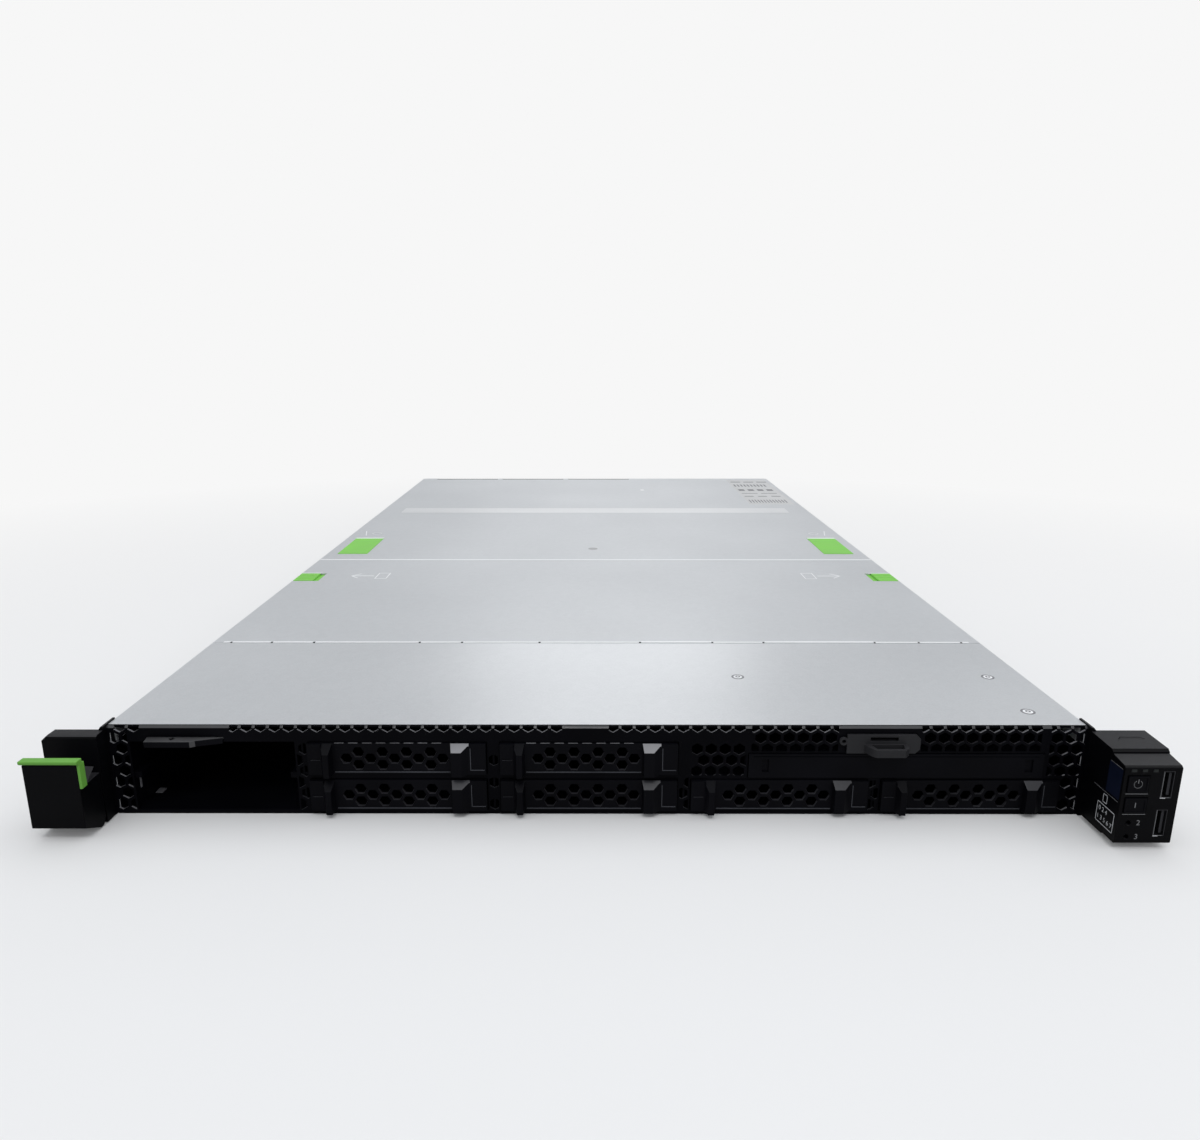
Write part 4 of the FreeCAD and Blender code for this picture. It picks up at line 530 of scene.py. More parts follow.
def soften(piece, width, segments=2, clamp=True):
    """Round the edges of a piece and keep the result as a plain mesh."""
    bevel = piece.modifiers.new("edge", "BEVEL")
    bevel.width = width
    bevel.segments = segments
    bevel.limit_method = "ANGLE"
    bevel.angle_limit = ROUND_ANGLE
    bevel.use_clamp_overlap = clamp
    flatten(piece)


def turned(right, up):
    """The turn that lays a flat drawing with its own right and up."""
    right, up = Vector(right), Vector(up)
    return Matrix((right, up, right.cross(up))).transposed().to_4x4()


ON_TOP = turned((1, 0, 0), (0, 1, 0))
ON_FRONT = turned((1, 0, 0), (0, 0, 1))
ON_REAR = turned((-1, 0, 0), (0, 0, 1))
ON_LEFT = turned((0, -1, 0), (0, 0, 1))


def stroke(first, last, width):
    """Outline of a straight line of that width."""
    along = (Vector(last) - Vector(first)).normalized() * width / 2
    side = Vector((-along.y, along.x))
    first, last = Vector(first) - along, Vector(last) + along
    return [tuple(first + side), tuple(first - side), tuple(last - side), tuple(last + side)]


def chain(places, width):
    """Straight lines from each place to the next."""
    return [stroke(a, b, width) for a, b in zip(places, places[1:])]


def frame_lines(left, low, right, high, width):
    """Four lines round a rectangle."""
    return chain([(left, low), (right, low), (right, high), (left, high), (left, low)], width)


def ring_lines(x, y, radius, width, start=0.0, stop=360.0):
    """Short lines round a circle or a part of it."""
    angles = [math.radians(start + (stop - start) * k / RING_SIDES) for k in range(RING_SIDES + 1)]
    return chain([(x + radius * math.cos(a), y + radius * math.sin(a)) for a in angles], width)


def marks(name, shapes, turn, place, body, finish, slot, depth=None):
    """Thin raised shapes, drawn in millimetres on a turned plane at a place."""
    depth = depth or sizes().mark_depth

    def build(work):
        for shape in shapes:
            add_plate(work, [metres(x, y) for x, y in shape], 0.0, depth)

    piece = mesh_from(build, name)
    piece.data.transform(Matrix.Translation(place) @ turn)
    settle(piece, body, finish)


def digits(name, text, height, turn, place, body, finish, slot):
    """Plain numbers, slightly raised."""
    curve = bpy.data.curves.new(name, "FONT")
    curve.body = text
    curve.size = height / FONT_SHARE
    curve.align_x = "CENTER"
    curve.align_y = "CENTER"
    curve.resolution_u = 3
    curve.extrude = sizes().mark_depth / 2
    holder = place_object(name, curve)
    mesh = evaluated_mesh(holder)
    bpy.data.objects.remove(holder)
    work = merged(mesh)
    work.to_mesh(mesh)
    work.free()
    mesh.transform(Matrix.Translation(place) @ turn)
    settle(place_object(name, mesh), body, finish)


def strips(name, rows, body, finish, edge=0.0):
    """Blocks given as rows of left, right, front, back, low and high in millimetres."""
    def build(work):
        for left, right, front, back, low, high in rows:
            add_block(work, metres(left, front, low), metres(right, back, high))

    piece = mesh_from(build, name)
    if edge:
        soften(piece, edge)
    settle(piece, body, finish)


def measured(mesh):
    """Open edges and volume of a mesh, and the share that its triangles cover more than its faces."""
    work = merged(mesh)
    loose = sum(len(edge.link_faces) != 2 for edge in work.edges)
    volume = work.calc_volume()
    work.free()
    mesh.calc_loop_triangles()
    faces = sum(face.area for face in mesh.polygons)
    triangles = sum(triangle.area for triangle in mesh.loop_triangles)
    return loose, volume, triangles / faces - 1.0


def joined_faces(source, flat, cut):
    """Points and faces of a mesh, its flat faces made one if asked, then cut into triangles if asked."""
    work = merged(source)
    if flat:
        bmesh.ops.dissolve_limit(work, angle_limit=FLAT_ANGLE, verts=work.verts, edges=work.edges)
    if cut:
        bmesh.ops.triangulate(work, faces=work.faces)
    work.verts.index_update()
    points = [tuple(vert.co) for vert in work.verts]
    faces = [[vert.index for vert in face.verts] for face in work.faces]
    work.free()
    return points, faces


def dress(name, width, segments=2, clamp=True, finish=None, accents=()):
    """Stand a rounded copy of a CAD node in its place.

    Each accent is a finish and a test of a face's normal and middle. Where rounding tears or folds the
    mesh, it is tried on triangles, and if that fails too, the edges stay sharp.
    """
    source = frame["nodes"][name]
    loose, volume = measured(source.data)[:2]
    low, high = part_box(name)
    finishes = [finish or SLOT_OF[name]] + [accent for accent, test in accents]
    for flat, cut, rounded in ((True, False, width), (True, True, width), (False, True, 0.0)):
        piece = mesh_of(name + "_finish", *joined_faces(source.data, flat, cut))
        for key in finishes:
            piece.data.materials.append(FINISH[key])
        for face in piece.data.polygons:
            for index, (accent, test) in enumerate(accents, start=1):
                if test(face.normal, face.center):
                    face.material_index = index
        if rounded:
            soften(piece, rounded, segments, clamp)
        new_loose, new_volume, folded = measured(piece.data)
        kept_volume = abs(new_volume - volume) < volume * VOLUME_CHANGE
        if new_loose <= loose and folded < FOLDED_SHARE and kept_volume:
            break
        if rounded:
            bpy.data.objects.remove(piece)
    for vert in piece.data.vertices:
        vert.co = [min(max(value, least), most) for value, least, most in zip(vert.co, low, high)]
    settle(piece, BODY_OF[name], None)
    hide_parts(name)


# Geometry Nodes for what repeats

def geometry_tree(name, **inputs):
    """A tree with a geometry input, the named inputs of their kinds, a finish and a geometry output."""
    tree = bpy.data.node_groups.new(name, "GeometryNodeTree")
    tree.interface.new_socket("Geometry", in_out="INPUT", socket_type="NodeSocketGeometry")
    for label, kind in (inputs | {"Finish": "Material"}).items():
        tree.interface.new_socket(label, in_out="INPUT", socket_type="NodeSocket" + kind)
    tree.interface.new_socket("Geometry", in_out="OUTPUT", socket_type="NodeSocketGeometry")
    return tree, tree.nodes.new("NodeGroupInput").outputs, tree.nodes.new("NodeGroupOutput").inputs


def close_tree(tree, given, result, values):
    """Put instances on points, make them real, give them their finish and hand them out."""
    spread = node(tree, "GeometryNodeInstanceOnPoints", values).outputs[0]
    real = node(tree, "GeometryNodeRealizeInstances", {"Geometry": spread}).outputs[0]
    finished = node(tree, "GeometryNodeSetMaterial", {"Geometry": real, "Material": given["Finish"]})
    tree.links.new(finished.outputs[0], result[0])
    return tree


def heads_tree():
    """Turned heads on points: a low cone on each, facing along the given direction."""
    tree, given, result = geometry_tree(
        "heads_on_points", Radius="Float", Rise="Float", Taper="Float", Sides="Int", Facing="Vector"
    )
    top = node(tree, "ShaderNodeMath", {0: given["Radius"], 1: given["Taper"]}, operation="MULTIPLY")
    values = {
        "Vertices": given["Sides"], "Radius Top": top.outputs[0], "Radius Bottom": given["Radius"],
        "Depth": given["Rise"],
    }
    head = node(tree, "GeometryNodeMeshCone", values)
    turn = node(tree, "FunctionNodeEulerToRotation", {"Euler": given["Facing"]}).outputs[0]
    values = {"Points": given["Geometry"], "Instance": head.outputs["Mesh"], "Rotation": turn}
    return close_tree(tree, given, result, values)


def row_tree():
    """A row of blocks: first place, step, count and block size."""
    tree, given, result = geometry_tree(
        "row_of_blocks", Start="Vector", Step="Vector", Count="Int", Block="Vector"
    )
    values = {"Count": given["Count"], "Start Location": given["Start"], "Offset": given["Step"]}
    line = node(tree, "GeometryNodeMeshLine", values).outputs[0]
    block = node(tree, "GeometryNodeMeshCube", {"Size": given["Block"]}).outputs[0]
    return close_tree(tree, given, result, {"Points": line, "Instance": block})


def scatter_tree():
    """Blocks of differing size scattered over a face, always in the same places."""
    tree, given, result = geometry_tree("scattered_blocks", Spacing="Float", Density="Float", Seed="Int")
    values = {
        "Mesh": given["Geometry"], "Distance Min": given["Spacing"], "Density Max": given["Density"],
        "Seed": given["Seed"],
    }
    places = node(tree, "GeometryNodeDistributePointsOnFaces", values, distribute_method="POISSON")
    block = node(tree, "GeometryNodeMeshCube", {"Size": metres(*CHIP)}).outputs[0]
    values = {0: CHIP_LEAST, 1: CHIP_MOST, "Seed": given["Seed"]}
    share = node(tree, "FunctionNodeRandomValue", values, data_type="FLOAT_VECTOR").outputs[0]
    values = {"Points": places.outputs["Points"], "Instance": block, "Scale": share}
    return close_tree(tree, given, result, values)


def grow(piece, tree, **values):
    """Run a tree on a piece with the named values, and keep the result as a plain mesh."""
    modifier = piece.modifiers.new("grow", "NODES")
    modifier.node_group = tree
    for item in tree.interface.items_tree:
        if item.in_out == "INPUT" and item.name in values:
            modifier[item.identifier] = values[item.name]
    flatten(piece)


def heads(name, points, body, finish, slot, radius, rise, facing=FACE_UP, taper=0.85, sides=24):
    """Heads of screws or rivets at a list of places."""
    tree = bpy.data.node_groups.get("heads_on_points") or heads_tree()
    piece = mesh_of(name, points)
    look = FINISH[finish]
    grow(piece, tree, Radius=radius, Rise=rise, Taper=taper, Sides=sides, Facing=facing, Finish=look)
    settle(piece, body, finish)


def blocks(name, start, step, count, size, body, finish):
    """A row of equal blocks; start is the middle of the first one."""
    tree = bpy.data.node_groups.get("row_of_blocks") or row_tree()
    piece = mesh_of(name, [])
    grow(piece, tree, Start=start, Step=step, Count=count, Block=size, Finish=FINISH[finish])
    settle(piece, body, finish)


# Tests of a face's normal and middle, for accents of painted light and shade

def faces_up(normal, middle):
    """Wall of a punched hole that looks upwards."""
    return abs(normal.y) < 0.2 and 0.4 < normal.z < 0.95


def in_top_row(normal, middle):
    return faces_up(normal, middle) and middle.z > TOP_ROW


def in_side_strip(normal, middle):
    return faces_up(normal, middle) and abs(middle.x) > STRIP_IN


def on_fold(normal, middle):
    """Face that slants up and to the front."""
    return normal.y < -0.4 and normal.z > 0.4


def on_bead(normal, middle):
    """The cover's raised bead."""
    return normal.z > 0.1 and middle.z > ROOF + BEAD_LEAST


def looks_front(normal, middle):
    return normal.y < -0.9


def looks_up(normal, middle):
    return normal.z > 0.8


# Operators

class SERVER_OT_stage(bpy.types.Operator):
    """Floor with a curved backdrop, lamps, world and camera"""

    bl_idname = "server.stage"
    bl_label = "Stage"

    def execute(self, context):
        self.backdrop()
        self.lamps()
        self.world()
        self.camera()
        context.scene.view_settings.view_transform = "Standard"
        return {"FINISHED"}

    def backdrop(self):
        """Floor that curves up behind the object."""
        width, front, back, radius, height = 7.0, -4.0, 4.5, 2.0, 5.0
        steps = 24
        profile = [(front, 0.0)]
        for k in range(steps + 1):
            angle = math.pi / 2 * k / steps
            profile.append((back - radius + radius * math.sin(angle), radius - radius * math.cos(angle)))
        profile.append((back, height))
        points = [(x, y, z) for y, z in profile for x in (-width, width)]
        faces = [(2 * k, 2 * k + 1, 2 * k + 3, 2 * k + 2) for k in range(len(profile) - 1)]
        piece = mesh_of("backdrop", points, faces)
        piece.data.shade_smooth()
        piece.data.materials.append(self.floor_material())

    def floor_material(self):
        """Pale floor that turns into an even white away from the object, for the camera alone."""
        made = Finish("studio_floor", Roughness=0.9)
        tree = made.tree
        faint = made.noise(400.0, detail=1.0)
        tone = tones().floor
        pale = mix(tree, ranged(tree, faint, 0.0, 1.0), tone, shade(tone, 1.04))
        away = node(tree, "ShaderNodeVectorMath", {0: made.place}, operation="LENGTH").outputs["Value"]
        fade = ranged(tree, away, 0.0, 1.0, WHITE_FROM, WHITE_FULL)
        seen = tree.nodes.new("ShaderNodeLightPath").outputs["Is Camera Ray"]
        behind = node(tree, "ShaderNodeSeparateXYZ", {"Vector": made.place}).outputs["Y"]
        growth = ranged(tree, behind, 0.0, 1.0, BOUNCE_FROM, BOUNCE_FULL)
        bounce = mix(tree, growth, shade(tone, FLOOR_BOUNCE), shade(tone, BOUNCE_BEHIND))
        tree.links.new(mix(tree, seen, bounce, pale), made.shader.inputs["Base Color"])
        share = node(tree, "ShaderNodeMath", {0: fade, 1: seen}, operation="MULTIPLY").outputs[0]
        white = node(tree, "ShaderNodeEmission", {"Color": STUDIO_WHITE})
        blend_shaders(tree, share, made.shader, white, "Material Output")
        return made.material

    def lamps(self):
        """Soft lamps: above the front, at one side, and low behind for the sheen of the sheets."""
        for name, place, aim, width, height, power in LAMPS:
            light = bpy.data.lights.new(name, "AREA")
            light.shape = "RECTANGLE"
            light.energy = power
            light.size = width
            light.size_y = height
            lamp = place_object(name, light)
            lamp.location = place
            lamp.rotation_euler = (Vector(aim) - Vector(place)).to_track_quat("-Z", "Y").to_euler()
            lamp.visible_camera = False

    def world(self):
        """Grey light, stronger from above, and an even white for the camera."""
        world = bpy.data.worlds.new("studio")
        bpy.context.scene.world = world
        world.use_nodes = True
        tree = world.node_tree
        way = tree.nodes.new("ShaderNodeTexCoord").outputs["Generated"]
        up = node(tree, "ShaderNodeSeparateXYZ", {"Vector": way}).outputs["Z"]
        shine = tree.nodes["Background"]
        shine.inputs["Color"].default_value = SKY
        strength = ranged(tree, up, WORLD_LOW, WORLD_HIGH, 0.0, WORLD_STRENGTH)
        tree.links.new(strength, shine.inputs["Strength"])
        pale = node(tree, "ShaderNodeBackground", {"Color": STUDIO_WHITE, "Strength": 1.0})
        seen = tree.nodes.new("ShaderNodeLightPath").outputs["Is Camera Ray"]
        blend_shaders(tree, seen, shine, pale, "World Output")

    def camera(self):
        """The photograph's own view of the object, in front of it and above."""
        lens = bpy.data.cameras.new("camera")
        lens.sensor_width = 36.0
        lens.lens = lens.sensor_width * FOCAL_PIXELS / IMAGE_WIDTH
        lens.shift_x = (IMAGE_WIDTH / 2 - MIDDLE_X) / IMAGE_WIDTH
        lens.clip_start = 0.01
        lens.clip_end = 50.0
        camera = place_object("camera", lens)
        camera.location = metres(*CAMERA_PLACE)
        camera.rotation_euler = Euler([math.radians(angle) for angle in CAMERA_TURN])
        bpy.context.scene.camera = camera


class SERVER_OT_sheets(bpy.types.Operator):
    """Top sheets, tray, rear sheets and the parts riveted to them"""

    bl_idname = "server.sheets"
    bl_label = "Sheets"

    def execute(self, context):
        edge = sizes().sheet_edge
        for name in ("chassis_tray", "slot_brackets", "rail_studs", "rear_wall"):
            dress(name, edge)
        # Front top sheet in the lighter copy of the galvanised finish: painted sheen
        dress("front_top_plate", edge, finish="plate_sheet")
        # The bead's upward faces take the whiter finish of painted sheen
        dress("top_cover", edge, accents=(("rolled_bead", on_bead),))
        self.low_grounds()
        self.liners()
        self.side_rivets()
        return {"FINISHED"}

    def low_grounds(self):
        """Lower steps of the front sheet under the cover's tongues, dark strips of painted shade in the rear
        cut-outs.
        """
        back, rear, top, half = PLATE_BACK / MM, REAR / MM, ROOF / MM, TONGUE_HALF
        steps = [(x - half, x + half, back - 1.25, back, top - 0.5, top - 0.05) for x in TONGUES]
        strips("plate_steps", steps, "chassis", "plate_sheet")
        shades = [(x, x + REAR_CUT_WIDTH, rear - 6.8, rear - 1.3, top - 0.9, top - 0.2) for x in REAR_CUTS]
        strips("rear_cut_shades", shades, "cover", "tab_plastic_and_shade")

    def liners(self):
        """Black sheets of painted shade inside the tray's sides and floor edges round the drives; the edge
        strips' feet.
        """
        edge = SIDE / MM
        rows = both_sides(edge - 1.12, edge - 1.02, CAGE_FRONT, CAGE_BACK, 1.0, 41.8)
        rows += both_sides(edge - 8.4, edge - 1.1, CAGE_FRONT, CAGE_BACK, 1.02, 1.1)
        strips("cage_shade_liners", rows, "chassis", "black_steel")
        feet = both_sides(edge, edge + 2.2, -3.4, 6.0, 0.2, 3.1)
        strips("edge_strip_feet", feet, "chassis", "black_steel", 0.2 * MM)

    def side_rivets(self):
        """Rivets of the drive cage and the fan wall in the side walls."""
        radius, rise, taper = 2.0 * MM, 0.7 * MM, 0.7
        for side, facing, word in ((-1, FACE_LEFT, "left"), (1, FACE_RIGHT, "right")):
            points = [(side * SIDE, along * MM, high * MM) for along, high in SIDE_RIVETS]
            name = "side_rivets_" + word
            heads(name, points, "chassis", "bright_metal", "galvanised", radius, rise, facing, taper)


class SERVER_OT_front(bpy.types.Operator):
    """Punched front face, drive cage, blanks and the small pull out parts"""

    bl_idname = "server.front"
    bl_label = "Front"

    def execute(self, context):
        edge = sizes().plastic_edge
        # Grille: painted glints on walls facing up, brighter in top row and side strips; painted sheen on the
        # slanted top edge
        cells = (("cell_wall", faces_up), ("rim_glint", in_top_row), ("rim_glint", in_side_strip))
        dress("front_grille", sizes().cell_edge, clamp=False, accents=cells + (("fold_sheen", on_fold),))
        dress("drive_cage", sizes().sheet_edge)
        for number in range(1, 7):
            self.blank("drive_blank_%d" % number)
        dress("optical_blank", edge * 0.6)
        # ID card grey where light falls, its front faces left black: painted light
        dress("id_card", edge * 0.5, finish="grey_plastic", accents=(("black_plastic", looks_front),))
        dress("service_tab", edge * 0.5, finish="tab_plastic_and_shade")
        self.pull_marks()
        # Spring tabs in the empty bay, coloured as painted glints
        strips("bay_spring_glints", BAY_SPRING_GLINTS, "chassis", "rim_glint")
        return {"FINISHED"}

    def blank(self, name):
        """One drive blank, rounded, with painted glints on its cells, bevel, lower lip and upper edge."""
        low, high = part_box(name)
        upper = low.z > UPPER_ROW
        block = high.x - BLOCK_FROM_RIGHT

        def cell_floor(normal, middle):
            return abs(normal.y) < 0.2 and normal.z > 0.4 and middle.z < high.z - 0.6 * MM

        def block_bevel(normal, middle):
            return on_fold(normal, middle) and middle.x > block

        # Painted glints: dim on cell floors; on the catch block's bevel, bright in the upper row and dim
        # below
        accents = (("cell_wall", cell_floor), ("rim_glint" if upper else "cell_wall", block_bevel))
        dress(name, sizes().cell_edge * 1.4, clamp=False, accents=accents)
        left, right, base, front = low.x / MM, high.x / MM, low.z / MM, BLANK_FRONT
        # Thin lines of painted glint along the lower lip and the end panel
        lip = [
            (left + 11.6, right - 16.2, front - 0.35, front, base + 0.9, base + 1.25),
            (right - 6.6, right - 0.7, front - 1.3, front - 1.0, base + 2.3, base + 2.6),
            (right - 7.0, right - 6.7, front - 1.3, front - 1.0, base + 2.3, base + 13.0),
        ]
        strips(name + "_lip", lip, BODY_OF[name], "edge_glint")
        # Dashes of painted glint on the upper edge of the upper row
        if upper:
            start = (*metres(left + 14.0, front + 0.3), high.z + 0.02 * MM)
            step = metres(MESH_PITCH, 0.0, 0.0)
            size = metres(4.2, 0.5, 0.06)
            blocks(name + "_top_glint_dashes", start, step, 8, size, BODY_OF[name], "rim_glint")

    def pull_marks(self):
        """Arrows pressed into the finger tabs of card and pull tab, drawn as dark marks of painted shade."""
        low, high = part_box("id_card")
        place = (low.x + 12.0 * MM, low.y + 2.6 * MM, high.z)
        marks("card_arrow", ARROW, ON_TOP, place, BODY_OF["id_card"], "dark", "black_plastic")
        low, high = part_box("service_tab")
        place = (low.x + 20.5 * MM, low.y + 2.6 * MM, low.z + 1.8 * MM)
        marks("tab_arrow", ARROW, ON_TOP, place, BODY_OF["service_tab"], "dark", "black_plastic")


class SERVER_OT_ears(bpy.types.Operator):
    """Left ear with lever and green grip, right ear with its control panel"""

    bl_idname = "server.ears"
    bl_label = "Ears"

    def execute(self, context):
        edge = sizes().plastic_edge
        # Ears in the darker copy of the plastic (painted shade), lighter on upward faces (painted light)
        lit_tops = (("ear_lit_top", looks_up),)
        for name in ("left_ear", "left_lever", "right_ear", "control_panel"):
            width = edge * (2.2 if name == "left_ear" else 1.0)
            dress(name, width, segments=3, finish="ear_shaded_plastic", accents=lit_tops)
        # The grip takes the darker copy of the touch green: painted shade
        dress("left_grip", edge, segments=3, finish="grip")
        # Grey triangle on the lever's side, standing for its lit face: painted light
        wall = (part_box("left_lever")[1].x, 0.0, 0.0)
        look = (BODY_OF["left_lever"], "grey_plastic", "black_plastic")
        marks("lever_lit_side", [LEVER_LIT_SIDE], ON_LEFT, wall, *look, 0.7 * MM)
        for name in ("left_hook", "right_hook", "power_button", "id_button"):
            dress(name, edge * 0.4)
        # Port fronts in dim painted glint
        dress("front_ports", edge * 0.2, finish="dull_metal", accents=(("cell_wall", looks_front),))
        self.panel_marks()
        self.panel_numbers()
        self.side_marks()
        return {"FINISHED"}

    def panel_marks(self):
        """Lines under the buttons, and painted glints beside and under the ports of the control panel."""
        face = (0, PANEL_FACE, 0)
        shapes = []
        for name in ("power_button", "id_button"):
            low, high = box_mm(name)
            shapes.append(stroke((low[0] - 0.2, low[2] - 0.7), (high[0] + 0.2, low[2] - 0.7), 0.22))
        # Lines at the left and bottom of each port: painted glints on the port shells
        for left, low, high in ((233.9, 24.4, 36.0), (233.5, 6.9, 18.5)):
            shapes.append(stroke((left, low), (left, high), 0.2))
            shapes.append(stroke((left, low), (left + 3.6, low), 0.2))
        marks("panel_lines", shapes, ON_FRONT, face, "chassis", "faint_print_and_glint", "black_plastic")
        # Brighter painted glints at the lower left of each port
        glints = [stroke((left, low), (left + 1.8, low), 0.35) for left, low in ((233.8, 24.2), (233.4, 6.7))]
        marks("port_glints", glints, ON_FRONT, face, "chassis", "print", "black_plastic", 0.08 * MM)

    def button_face(self, name):
        """Middle of a button's dished face, and the button's body."""
        low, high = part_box(name)
        middle = (low + high) / 2
        return (middle.x, low.y + BUTTON_DISH * MM, middle.z), BODY_OF[name]

    def panel_numbers(self):
        """Plain numbers on the identity button and beside the pinhole buttons, and the power sign."""
        height = sizes().digit_height * 0.8
        look = ("faint_print_and_glint", "black_plastic")
        for number, name in enumerate(("id_button", "reset_button", "nmi_button"), start=1):
            place, body = self.button_face(name)
            if number > 1:
                place, body = (place[0] + 4.2 * MM, PANEL_FACE, place[2]), "chassis"
            digits(name + "_number", str(number), height, ON_FRONT, place, body, *look)
        place, body = self.button_face("power_button")
        shapes = ring_lines(0, 0, 1.7, 0.3, 125, 415) + [stroke((0, 0.6), (0, 2.1), 0.3)]
        marks("power_ring", shapes, ON_FRONT, place, body, *look)

    def side_marks(self):
        """Bay numbers, a bare sticker and lines on the inner side of the right ear, its bracket on top in
        painted shade.
        """
        wall = (PANEL_INNER, 0.0, 0.0)
        bays = frame_lines(16.4, 6.4, 28.6, 15.2, 0.35) + frame_lines(19.6, 16.6, 22.4, 20.2, 0.3)
        marks("bay_frame", bays, ON_LEFT, wall, "chassis", "print", "black_plastic")
        height = sizes().digit_height * 0.7
        for text, along, high in (("0 2 4", 20.6, 12.8), ("1 3 5 6 7", 22.4, 8.8)):
            place = (PANEL_INNER, -along * MM, high * MM)
            name = "bay_numbers_" + text[0]
            digits(name, text, height, ON_LEFT, place, "chassis", "print", "black_plastic")
        marks("bare_sticker", [STICKER], ON_LEFT, wall, "chassis", "dark_label", "black_plastic")
        lines = [stroke((12.0, 21.4), (29.4, 21.4), 0.15), stroke((21.0, 36.5), (29.4, 36.5), 0.15)]
        marks("side_lines", lines, ON_LEFT, wall, "chassis", "faint_print_and_glint", "black_plastic")
        bracket = chain(EAR_BRACKET, 0.3)
        marks("ear_bracket_shade_mark", bracket, ON_TOP, metres(0, 0, EAR_TOP), "chassis", "dark", "black_plastic")


class SERVER_OT_cover_parts(bpy.types.Operator):
    """Latches, touch pads, rolled edge, marks and rivets of the top"""

    bl_idname = "server.cover_parts"
    bl_label = "Cover parts"

    def execute(self, context):
        for name in ("cover_latch_left", "cover_latch_right", "cover_pads"):
            dress(name, sizes().plastic_edge * 0.5)
        self.rolled_edge()
        self.cover_lines()
        self.label()
        self.pressed_marks()
        self.rivets()
        return {"FINISHED"}

    def rolled_edge(self):
        """Cover's rolled front edge in painted highlight, broken at the punched stops, higher on two
        stretches.
        """
        width, rise = sizes().lip_width / MM, sizes().lip_rise / MM
        front, roof, gap = COVER_FRONT / MM, ROOF / MM, SEAM_GAP
        rows = []
        for left, right in zip(SEAM_BREAKS, SEAM_BREAKS[1:]):
            high = rise * (1.8 if (left, right) in SEAM_BRIGHT else 1.0)
            rows.append((left + gap, right - gap, front, front + width, roof, roof + high))
        strips("cover_rolled_edge", rows, "cover", "cover_lip", rise * 0.4 * MM)
        # Dark strips at the stops: painted shade
        stops = [(x - gap, x + gap, front - 0.2, front + width, roof, roof + 0.05) for x in SEAM_BREAKS[1:-1]]
        strips("cover_stop_shades", stops, "cover", "dark")

    def cover_lines(self):
        """Raised bend line, pad and latch rims in painted highlight, and painted shade in the latches' slots.
        """
        roof, edge = ROOF / MM, SIDE / MM - 0.8
        bend = [(-edge, edge, BEND_LINE, BEND_LINE + sizes().bend_width / MM, roof, roof + 0.16)]
        strips("cover_bend_line", bend, "cover", "cover_lip", 0.05 * MM)
        back, top = box_mm("cover_pads")[1][1:]
        rims = both_sides(*PAD_SPAN, back - 3.0, back, top, top + 0.05)
        strips("pad_rims", rims, "cover", "cover_lip")
        slots = both_sides(*LATCH_SLOT, LATCH_BACK - 1.2, LATCH_BACK - 0.2, roof - 0.6, roof - 0.2)
        strips("latch_slot_shades", slots, "cover", "dark")
        rims = both_sides(*LATCH_RIM, LATCH_BACK, LATCH_BACK + 1.0, roof, roof + 0.1)
        strips("latch_rims", rims, "cover", "cover_lip", 0.04 * MM)

    def label(self):
        """The bare label and its bars."""
        roof = ROOF / MM
        strips("cover_label", [LABEL + (roof, roof + 0.05)], "cover", "label")
        for number, (back, bar, length, pitch, count) in enumerate(LABEL_BARS, start=1):
            start = metres(LABEL[0] + 3.0 + bar / 2, back, roof + 0.06)
            size = metres(bar, length, 0.02)
            step = metres(pitch, 0.0, 0.0)
            name = "label_bars_%d" % number
            blocks(name, start, step, count, size, "cover", "faint_print_and_glint")

    def pressed_marks(self):
        """Arrows pressed beside the latches and signs behind the pads, drawn in painted highlight."""
        shapes = []
        for side in (-1, 1):
            left, right = sorted((side * 152.0, side * 160.0))
            tip = (side * 179.0, 260.0)
            shapes += frame_lines(left, 252.0, right, 268.0, 0.7)
            shapes.append(stroke((side * 163.0, 260.0), (side * 178.0, 260.0), 1.0))
            shapes.append(stroke((side * 173.0, 254.0), tip, 0.8))
            shapes.append(stroke((side * 173.0, 266.0), tip, 0.8))
            shapes += ring_lines(side * 196.0, 410.0, 4.0, 0.7)
            shapes.append(stroke((side * 204.0, 402.0), (side * 208.0, 420.0), 0.7))
        roof = (0.0, 0.0, ROOF)
        marks("pressed_marks", shapes, ON_TOP, roof, "cover", "cover_lip", "galvanised", 0.05 * MM)

    def rivets(self):
        """Flush rivets in the front top sheet, a grey stud in the cover and a spot weld behind, painted as a
        glint.
        """
        radius, rise = sizes().rivet_radius, sizes().rivet_rise
        points = [(*metres(x, y), ROOF) for x, y in FRONT_RIVETS]
        raised = [(x, y, z + rise) for x, y, z in points]
        stud, weld = [(*metres(*STUD), ROOF)], [(*metres(*WELD_GLINT), ROOF)]
        flat, domed = 1.0, 0.85
        # Name, places, body, finish, radius, rise, taper
        # Rivet heads and pins in painted highlight, their rings and wells in painted shade
        rows = (
            ("rivet_shades", points, "chassis", "dimple", radius * 1.4, 0.04 * MM, flat),
            ("rivets", points, "chassis", "cover_lip", radius, rise, domed),
            ("rivet_well_shades", raised, "chassis", "dimple", radius * 0.55, 0.03 * MM, flat),
            ("rivet_pins", raised, "chassis", "cover_lip", radius * 0.22, 0.08 * MM, domed),
            ("cover_stud", stud, "cover", "stud", radius * 1.7, 0.04 * MM, flat),
            ("cover_weld_glint", weld, "cover", "weld", 2.4 * MM, 0.3 * MM, domed),
        )
        for name, places, body, finish, wide, high, taper in rows:
            heads(name, places, body, finish, "galvanised", wide, high, taper=taper)


